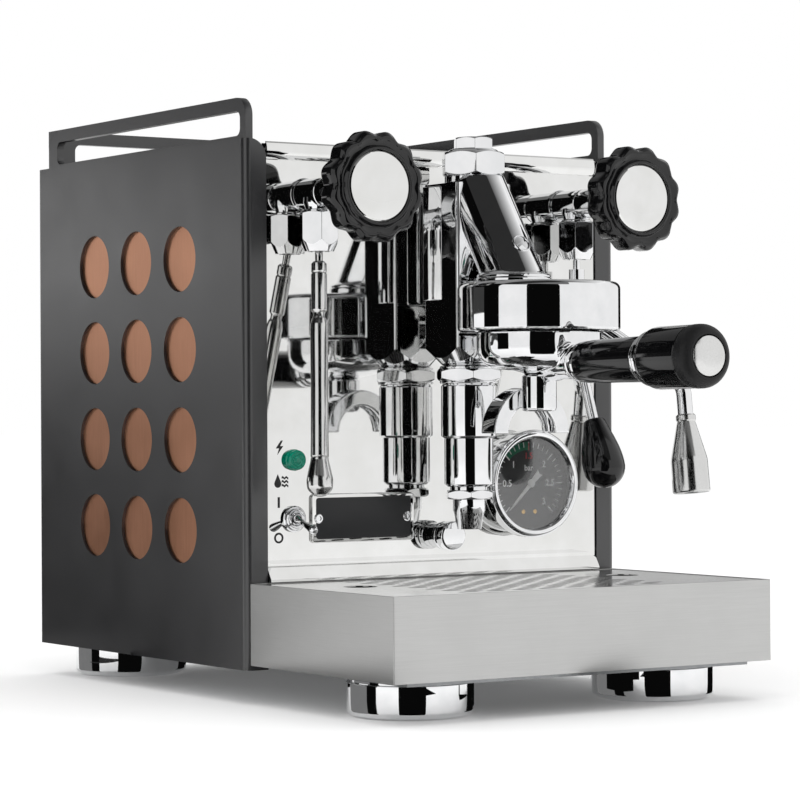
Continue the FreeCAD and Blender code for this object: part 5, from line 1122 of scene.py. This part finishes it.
@dataclass
class Gauge:
    """Pressure gauge: stepped case, printed dial, tapered hand and flat glass."""

    x: float = 60.5
    z: float = 128
    dial_front: float = 11.0
    zero_angle: float = 225
    per_bar: float = 90
    tick_radius: float = 25.4

    def build(self) -> None:
        """Make and dress the gauge."""
        self.here = seat(self.x, 0, self.z, Way.FRONT)
        lathe("gauge_shell", "gauge_case", self.here, [
            (0, -1), (30, -1), (30, 8.4), (30.6, 9), (33.2, 9.4, 0.5), (33.5, 11, 0.4), (33.5, 18, 1.4),
            (31.6, 20, 1.4), (29.4, 19.6, 1), (28, 17.4, 0.4), (28, 16), (29.2, 16), (29.2, 10.2),
            (0, 10.2)], 144)
        lathe("gauge_plate", "gauge_dial", self.here, [
            (0, 10), (29.1, 10), (29.1, self.dial_front), (0, self.dial_front)], finish=DIAL)
        self.markings()
        self.hand()
        lathe("gauge_window", "gauge_glass", self.here, [
            (0, 16.2), (28.05, 16.2), (28.05, 17.3, 0.2), (0, 17.3)], finish=GLASS)

    def spot(self, bar: float, radius: float) -> tuple[float, float]:
        """Place on the dial, right and up from its middle, of a pressure at a radius."""
        angle = math.radians(self.zero_angle - self.per_bar * bar)
        return radius * math.cos(angle), radius * math.sin(angle)

    def flat(self, right: float, up: float, spin: float = 0.0, lift: float = 0.0) -> Matrix:
        """Place of a print whose own X is right and Y is up on the dial."""
        return seat(self.x + right, -self.dial_front - lift, self.z + up, Way.FRONT, spin)

    def markings(self) -> None:
        """Print the ticks, numerals, unit, green band, red line and the two screws."""
        ticks = []
        for i in range(31):
            bar, long = i / 10, 5.0 if i % 5 == 0 else 3.2
            right, up = self.spot(bar, self.tick_radius - long / 2)
            angle = self.zero_angle - self.per_bar * bar
            wide = 0.8 if i % 5 == 0 else 0.55
            ticks.append(block(f"tick_{i}", (long, wide, 0.1), self.flat(right, up, angle, 0.08), 0.02, 1))
        self.ink(ticks, "dial_ticks", WHITE_INK)
        marks = [words(f"mark_{text}", text, 5.8, self.flat(*self.spot(float(text), 16.2)))
                 for text in ("0.5", "1", "2", "2.5", "3")]
        marks.append(words("mark_bar", "bar", 5.0, self.flat(0, 9.4)))
        self.ink(marks, "dial_numerals", WHITE_INK)
        red = [words("mark_red", "1.5", 5.2, self.flat(*self.spot(1.5, 16.8))),
               block("line_red", (5.0, 0.6, 0.12), self.flat(*self.spot(1.5, 22.6), 90, 0.14), 0.02, 1)]
        self.ink(red, "dial_red", RED_INK)
        band = [self.spot(1 + i / 24, 25.8) for i in range(13)]
        band += [self.spot(1.5 - i / 24, 20.6) for i in range(13)]
        dress(plate("dial_green", band, 0.08, self.flat(0, 0)), GREEN_INK, "chassis")
        for i, right in enumerate((-4.4, 4.4)):
            lathe(f"dial_screw_{i}", "", self.flat(right, -17.5), [
                (0, -0.2), (1.5, -0.2), (1.5, 0.5, 0.3), (0, 0.7)], 32, finish=BRASS)

    def ink(self, parts: list[bpy.types.Object], name: str, finish: Finish) -> None:
        """Join the marks of one ink into one piece and dress it.

        Args:
            parts: Marks in their places.
            name: Name of the joined piece.
            finish: The ink.
        """
        pick(parts[0])
        for part in parts:
            part.select_set(True)
        bpy.ops.object.join()
        parts[0].name = parts[0].data.name = name
        dress(parts[0], finish, "chassis")

    def hand(self) -> None:
        """Cut the tapered hand with its broad tail and turn its hub."""
        outline = [(-9.5, -2.4), (-8.6, 0), (-9.5, 2.4), (-1.5, 1.5), (18, 0.7), (23.5, 0.25), (23.5, -0.25),
                   (18, -0.7), (-1.5, -1.5)]
        hand = plate("gauge_hand", outline, 0.5, self.flat(0, 0, self.zero_angle, 2.4), 0.06)
        dress(hand, HAND, "gauge_needle", "gauge_needle")
        lathe("hand_hub", "gauge_needle", self.flat(0, 0), [
            (0, 0.2), (1.1, 0.2), (1.1, 2.4), (2.6, 2.4), (2.6, 3.3, 0.3), (1.2, 3.9, 0.4),
            (0, 4)], 48, finish=HAND, body="gauge_needle")


@dataclass
class FrontFittings:
    """Toggle switch, pilot lamp, bare badge, outlet cap and the plain icons."""

    switch_x: float = -104
    switch_z: float = 109.4
    lamp_z: float = 144.5
    badge_x: float = -55.25
    badge_z: float = 109.3
    badge_wide: float = 73.5
    badge_tall: float = 29.4
    rear_y: float = 269.5
    cap_z: float = 97
    toggle_drop: float = 17.5
    face: float = 1.1

    def build(self) -> None:
        """Make and dress the front's small fittings."""
        self.switch()
        self.lamp()
        self.badge()
        self.outlet_cap()
        self.icons()

    def switch(self) -> None:
        """Turn the stepped ring and the bat-shaped toggle."""
        here = seat(self.switch_x, 0, self.switch_z, Way.FRONT)
        lathe("switch_ring", "switch_bushing", here, [
            (0, -1.1), (7.9, -1.1), (7.9, 0.6, 0.3), (7.1, 1.3, 0.3), (6.5, 1.1), (6.3, 2.2, 0.3),
            (5.7, 2.9, 0.3), (5.3, 2.6), (5.1, 3.6, 0.3), (4.5, 4, 0.3), (3.7, 3.2, 0.3), (3.5, 0),
            (0, 0)], 72)
        drop = math.radians(self.toggle_drop)
        way = Vector((0, -math.cos(drop), -math.sin(drop)))
        lathe("switch_bat", "switch_lever", seat(self.switch_x, -3.5, self.switch_z, way), [
            (0, -3), (2.2, -2.4), (3.1, 0), (2.4, 2.2), (1.7, 4), (1.7, 9, 4), (2.7, 17, 6), (2.8, 19.5, 2),
            (1.6, 21.5, 1), (0, 21.8)], 48, body="switch_lever", angle=45)

    def lamp(self) -> None:
        """Turn the ringed lens of the pilot lamp."""
        lathe("lamp_lens", "pilot_lamp", seat(self.switch_x + 0.5, 0, self.lamp_z, Way.FRONT), [
            (0, -1.1), (6.4, -1.1), (6.4, 0.2, 0.3), (5.9, 0.7), (5.9, 3.4, 0.9), (4.9, 4.3, 0.5),
            (4.1, 3.9, 0.3), (3.3, 4.4, 0.3), (2.4, 4.0, 0.3), (1.5, 4.4, 0.3), (0, 4.2)], 72, finish=LENS)

    def badge(self) -> None:
        """Frame the bare badge and set its two screws."""
        x, z, wide, tall = self.badge_x, self.badge_z, self.badge_wide, self.badge_tall
        rim = plate("badge_rim", rounded(wide, tall, 2.6), 2, seat(x, self.face, z, Way.FRONT), 0.5)
        dress(rim, MIRROR, "chassis", "badge_plate")
        inner = rounded(wide - 5.6, tall - 4.6, 1.8)
        field = plate("badge_field", inner, 0.4, seat(x, -0.8, z, Way.FRONT), 0.12)
        dress(field, DIAL, "chassis", "badge_plate")
        for i, x in enumerate((-87.5, -24)):
            lathe(f"badge_screw_{i}", "panel_screws", seat(x, -1.1, self.badge_z, Way.FRONT), [
                (0, -0.6), (3, -0.6), (3, 0.4, 0.3), (2.4, 0.9, 0.2), (1.5, 0.9), (1.5, 0.3), (0, 0.3)], 40)
        for i, (x, z) in enumerate(((-112, 60), (112, 60), (-112, 290), (112, 290))):
            lathe(f"rear_screw_{i}", "panel_screws", seat(x, self.rear_y, z, Way.BACK), [
                (0, -0.2), (2.3, -0.2), (2.2, 0.4, 0.3), (1.1, 1.0), (1.0, 0.4), (0, 0.4)], 40)

    def outlet_cap(self) -> None:
        """Turn the grooved round cap under the group."""
        lathe("round_cap", "outlet_cap", seat(0, 0, self.cap_z, Way.FRONT), [
            (0, -1), (7.6, -1), (7.6, 5), (8.8, 6, 0.5), (8.8, 8, 0.5), (7.9, 8.6), (7.9, 9.4),
            (9, 10.2, 0.5), (9, 16.2, 0.8), (8, 17, 0.5), (0, 17.1)], 80)

    def icons(self) -> None:
        """Fill the plain marks beside the lamp and the switch."""
        bolt = [(1.0, 4.2), (-2.6, -0.5), (-0.3, -0.5), (-1.6, -4.4), (2.6, 0.9), (0.4, 0.9), (2.3, 4.2)]
        drop = [(2.4 * math.sin(a), -1.5 - 2.4 * math.cos(a))
                for a in (math.radians(-125 + 25 * i) for i in range(11))]
        marks = [("bolt", bolt, -113.3, 152), ("drop", [(0, 4.2), *drop], -114.6, 132),
                 ("on", [(-0.75, -3.2), (0.75, -3.2), (0.75, 3.2), (-0.75, 3.2)], -114, 119.4)]
        for i in range(3):
            upper = [(-2.3 + 0.57 * k, 0.5 * math.sin(k * 1.4) + 0.62) for k in range(9)]
            lower = [(x, y - 1.24) for x, y in reversed(upper)]
            marks.append((f"wave_{i}", upper + lower, -109.6, 129.4 + 2.3 * i))
        for name, outline, x, z in marks:
            mark = plate("icon_" + name, outline, 0.08, seat(x, self.face, z, Way.FRONT))
            dress(mark, BLACK_INK, "chassis")
        lathe("icon_off", "", seat(-114.1, self.face, 98.3, Way.FRONT), [
            (2.0, -0.02), (3.2, -0.02), (3.2, 0.08), (2.0, 0.08), (2.0, -0.02)], 48, finish=BLACK_INK)


# Brightness of a card that shows as black in the metal, and the height of the lying cards over the machine
BLACK = 0.003
CEILING = 1.7


@dataclass(frozen=True)
class Card:
    """Flat card, upright or lying, that only the metal and the gloss show.

    Attributes:
        name: Name of the card.
        edge: Two ends of its first edge, right and back of the middle in metres.
        far: Two ends of the edge across from it.
        foot: Height of the first edge.
        top: Height of the far edge.
        low: Brightness at the middle or on the floor.
        high: Brightness one metre from there.
        along: Axis that the brightness follows.
    """

    name: str
    edge: tuple[tuple[float, float], tuple[float, float]]
    far: tuple[tuple[float, float], tuple[float, float]]
    foot: float
    top: float
    low: float = BLACK
    high: float = BLACK
    along: str = "Z"

    def corners(self) -> list[tuple[float, float, float]]:
        """Four corners in the order of a new plane's own."""
        return [(*end, self.foot) for end in self.edge] + [(*end, self.top) for end in self.far]


CAMERA_EDGE = ((-1.343, -1.115), (-0.293, -2.396))
LEFT_EDGE = ((-1.36, -0.03), (-1.36, 0.621))
TRAY_EDGE = ((-1.36, 0.621), (-1.085, 1.34))
FAR_LEFT_EDGE = ((-1.085, 1.34), (-0.6, 2.6))
HIGH_LEFT_EDGE = ((-1.36, 0.621), (-0.6, 2.6))
BACK_EDGE = ((-0.6, 2.6), (1.33, 1.5))
RIGHT_EDGE = ((1.33, 1.5), (1.86, 0.73))
GRID_EDGE = ((0.127, 0.012), (0.55, 0.2))
CARDS = [
    Card("camera_card", CAMERA_EDGE, CAMERA_EDGE, 0, 2.2),
    Card("left_card", LEFT_EDGE, LEFT_EDGE, 0, 2.2),
    Card("tray_card", TRAY_EDGE, TRAY_EDGE, 0, 0.25, 1.1, 1.2),
    Card("over_tray_card", TRAY_EDGE, TRAY_EDGE, 0.25, 0.53, 0.05, 0.05),
    Card("low_left_card", FAR_LEFT_EDGE, FAR_LEFT_EDGE, 0, 0.27, 0.02, 0.1),
    Card("far_left_card", FAR_LEFT_EDGE, FAR_LEFT_EDGE, 0.27, 0.465, 1.3, 1.9),
    Card("upper_left_card", FAR_LEFT_EDGE, FAR_LEFT_EDGE, 0.465, 0.53, 0.8, 0.8),
    Card("lip_card", ((-0.1314, -0.0071), (0.1046, -0.0071)), ((-0.1314, -0.026), (0.1046, -0.026)),
         0.083, 0.084, 1, 1),
    Card("high_left_card", HIGH_LEFT_EDGE, HIGH_LEFT_EDGE, 0.53, 2.6),
    Card("back_card", BACK_EDGE, BACK_EDGE, 0.9, 3.0),
    Card("right_card", RIGHT_EDGE, RIGHT_EDGE, 0, 1.2),
    Card("grid_card", GRID_EDGE, GRID_EDGE, 0.074, 0.125, 0.55, 0.55),
    Card("soft_ceiling", ((0.3, -0.9), (2.1, -0.9)), ((0.3, 1.2), (2.1, 1.2)), CEILING, CEILING, -0.05, 0.52,
         "X"),
    Card("front_ceiling", ((-2.2, -2.6), (0.4, -2.6)), ((-2.2, -0.9), (0.4, -0.9)),
         CEILING, CEILING, 0.2, 0.2),
    Card("left_ceiling", ((-2.2, -0.9), (0.3, -0.9)), ((-2.2, 0.1), (0.3, 0.1)),
         CEILING, CEILING, 0.03, 0.03),
    Card("rear_ceiling", ((-2.2, 0.1), (0.3, 0.1)), ((-2.2, 2.6), (0.3, 2.6)),
         CEILING, CEILING, 0.28, 0.28),
    Card("back_ceiling", ((0.3, 1.2), (2.1, 1.2)), ((0.3, 2.6), (2.1, 2.6)),
         CEILING, CEILING, 0.28, 0.28),
    Card("front_floor_card", ((-0.237, -0.282), (-0.0475, -0.391)), CAMERA_EDGE, 0.001, 0.001),
    Card("left_floor_card", ((-0.2, 0.068), (-0.2, 2.0)), ((-1.36, 1.81), (-1.36, 2.0)), 0.001, 0.001,
         0.03, 0.03),
]


# Level direction from the machine to the camera
TO_CAMERA = (-0.554, -0.8326)
# Distance of a foot's upright cards from its middle, and of the near edge of the cards on the floor
FOOT_CARD_FAR = 0.11
FOOT_CARD_NEAR = 0.041
# Share of a card's angle that the near edge of its floor card takes
FOOT_CARD_TAPER = 0.62
# Height of the upright cards, and of the others over the floor
FOOT_CARD_TOP = 0.0225
FOOT_CARD_LIFT = 0.0008


def round_foot(name: str, x: float, y: float) -> list[Card]:
    """Stand small cards close round a foot, so that it shows the same stripes as the group.

    Args:
        name: Name that its cards begin with.
        x: Place of the foot's middle to the right in the part's frame, in metres.
        y: Place of the foot's middle to the back.

    Returns:
        The cards.
    """
    toward = math.atan2(TO_CAMERA[1], TO_CAMERA[0])
    cards = []
    for part, start, end, tone in (("front", -17, 24, BLACK), ("left", -71, -53, BLACK),
                                   ("far", -117, -71, 0.2), ("right", 107, 140, BLACK)):
        edge, near = [tuple((x + far * math.cos(way), y + far * math.sin(way))
                            for way in (toward + math.radians(angle * share) for angle in (start, end)))
                      for far, share in ((FOOT_CARD_FAR, 1), (FOOT_CARD_NEAR, FOOT_CARD_TAPER))]
        cards += [Card(f"{name}_{part}", edge, edge, 0, FOOT_CARD_TOP, tone, tone),
                  Card(f"{name}_{part}_floor", near, edge, FOOT_CARD_LIFT, FOOT_CARD_LIFT, tone, tone)]
    return cards


@dataclass
class Studio:
    """White surroundings, soft lamps, dark cards that draw the metal's stripes, the floor and the camera."""

    camera: tuple[float, float, float] = (-1.0197, -1.4787, 0.1731)
    right: tuple[float, float, float] = (0.8326, -0.5539, -0.0047)
    up: tuple[float, float, float] = (0.0037, -0.003, 1.0)
    lens: float = 130.34
    shift: float = 0.01275
    sensor: float = 36
    aim: tuple[float, float, float] = (0, 0, 0.15)
    ambient: float = 0.97
    floor_size: float = 40
    floor_glow: float = 0.08

    def build(self) -> None:
        """Set up the room."""
        self.world()
        self.floor()
        self.lamps()
        self.cards()
        self.view()
        bpy.context.scene.view_settings.view_transform = "Standard"

    def seen(self, tree: bpy.types.NodeTree) -> bpy.types.NodeSocket:
        """Add nodes that give one for camera, glossy and transmission rays.

        Args:
            tree: Node tree that gets them.

        Returns:
            Socket of the share.
        """
        path = add(tree, "LightPath").outputs
        some = add(tree, "Math", {0: path["Is Camera Ray"], 1: path["Is Glossy Ray"]}, operation="MAXIMUM")
        last = {0: some.outputs[0], 1: path["Is Transmission Ray"]}
        return add(tree, "Math", last, operation="MAXIMUM").outputs[0]

    def world(self) -> None:
        """Make the surroundings white to the eye and softer on matt surfaces."""
        room = bpy.data.worlds.new("white_room")
        tree = fresh(room)
        level = {"Value": self.seen(tree), "To Min": self.ambient, "To Max": 1.0}
        strength = add(tree, "MapRange", level).outputs["Result"]
        light = add(tree, "Background", {"Color": linear("#ffffff"), "Strength": strength})
        add(tree, "OutputWorld", {"Surface": light.outputs[0]})
        bpy.context.scene.world = room

    def floor(self) -> None:
        """Lay a pale floor that reads white and keeps the shadow."""
        bpy.ops.object.select_all(action="DESELECT")
        bpy.ops.mesh.primitive_plane_add(size=self.floor_size)
        made = bpy.context.object
        made.name = "floor"
        paint = bpy.data.materials.new("white_floor")
        tree = fresh(paint)
        matt = add(tree, "BsdfDiffuse", {"Color": linear("#fafafa")})
        glow = add(tree, "Math", {0: self.seen(tree), 1: self.floor_glow}, operation="MULTIPLY").outputs[0]
        shine = add(tree, "Emission", {"Strength": glow})
        whole = add(tree, "AddShader", {0: matt.outputs[0], 1: shine.outputs[0]})
        add(tree, "OutputMaterial", {"Surface": whole.outputs[0]})
        made.data.materials.append(paint)

    def lamps(self) -> None:
        """Hang two soft lamps that the metal doesn't mirror."""
        for name, spot, size, power in (("overhead", (-0.1, 0, 1.9), 2.2, 9),
                                        ("left_bank", (-1.7, -0.5, 1.2), 1.4, 3)):
            data = bpy.data.lights.new(name, "AREA")
            data.size = size
            data.energy = power
            lamp = bpy.data.objects.new(name, data)
            lamp.location = spot
            lamp.rotation_euler = (Vector(self.aim) - Vector(spot)).to_track_quat("-Z", "Y").to_euler()
            lamp.visible_glossy = False
            bpy.context.collection.objects.link(lamp)

    def cards(self) -> None:
        """Stand and lay the cards that only the metal shows."""
        cards = list(CARDS)
        for i, (x, y) in enumerate((x, y) for x in (-0.1014, 0.0746) for y in (-0.1071, 0.2264)):
            cards += round_foot(f"foot_card_{i}", x, y)
        for card in cards:
            made = begin("plane", card.name, size=1.0)
            pick(made)
            for vertex, corner in zip(made.data.vertices, card.corners()):
                vertex.co = corner
            paint = bpy.data.materials.new(card.name)
            tree = fresh(paint)
            place = add(tree, "SeparateXYZ", {0: add(tree, "TexCoord").outputs["Object"]}).outputs[card.along]
            level = {"Value": place, "To Min": card.low, "To Max": card.high}
            strength = add(tree, "MapRange", level, clamp=False).outputs["Result"]
            shine = add(tree, "Emission", {"Strength": strength})
            add(tree, "OutputMaterial", {"Surface": shine.outputs[0]})
            made.data.materials.append(paint)
            for ray in ("camera", "diffuse", "shadow", "transmission", "volume_scatter"):
                setattr(made, "visible_" + ray, False)

    def view(self) -> None:
        """Stand the camera where the photograph was taken."""
        data = bpy.data.cameras.new("camera")
        data.lens = self.lens
        data.sensor_width = self.sensor
        data.shift_y = self.shift
        camera = bpy.data.objects.new("camera", data)
        right, up = Vector(self.right), Vector(self.up)
        turn_to = Matrix((right, up, right.cross(up))).transposed().to_4x4()
        camera.matrix_world = Matrix.Translation(self.camera) @ turn_to
        bpy.context.collection.objects.link(camera)
        bpy.context.scene.camera = camera


def main() -> None:
    """Build every sub-assembly in order."""
    logging.basicConfig(level=logging.INFO)
    for assembly in (Casing(), Group(), BrewLever(), Portafilter(), Valve(Side.LEFT, "steam_control"),
                     Valve(Side.RIGHT, "water_control"), Wands(), Gauge(), FrontFittings(), Studio()):
        assembly.build()


if __name__ == "__main__":
    main()
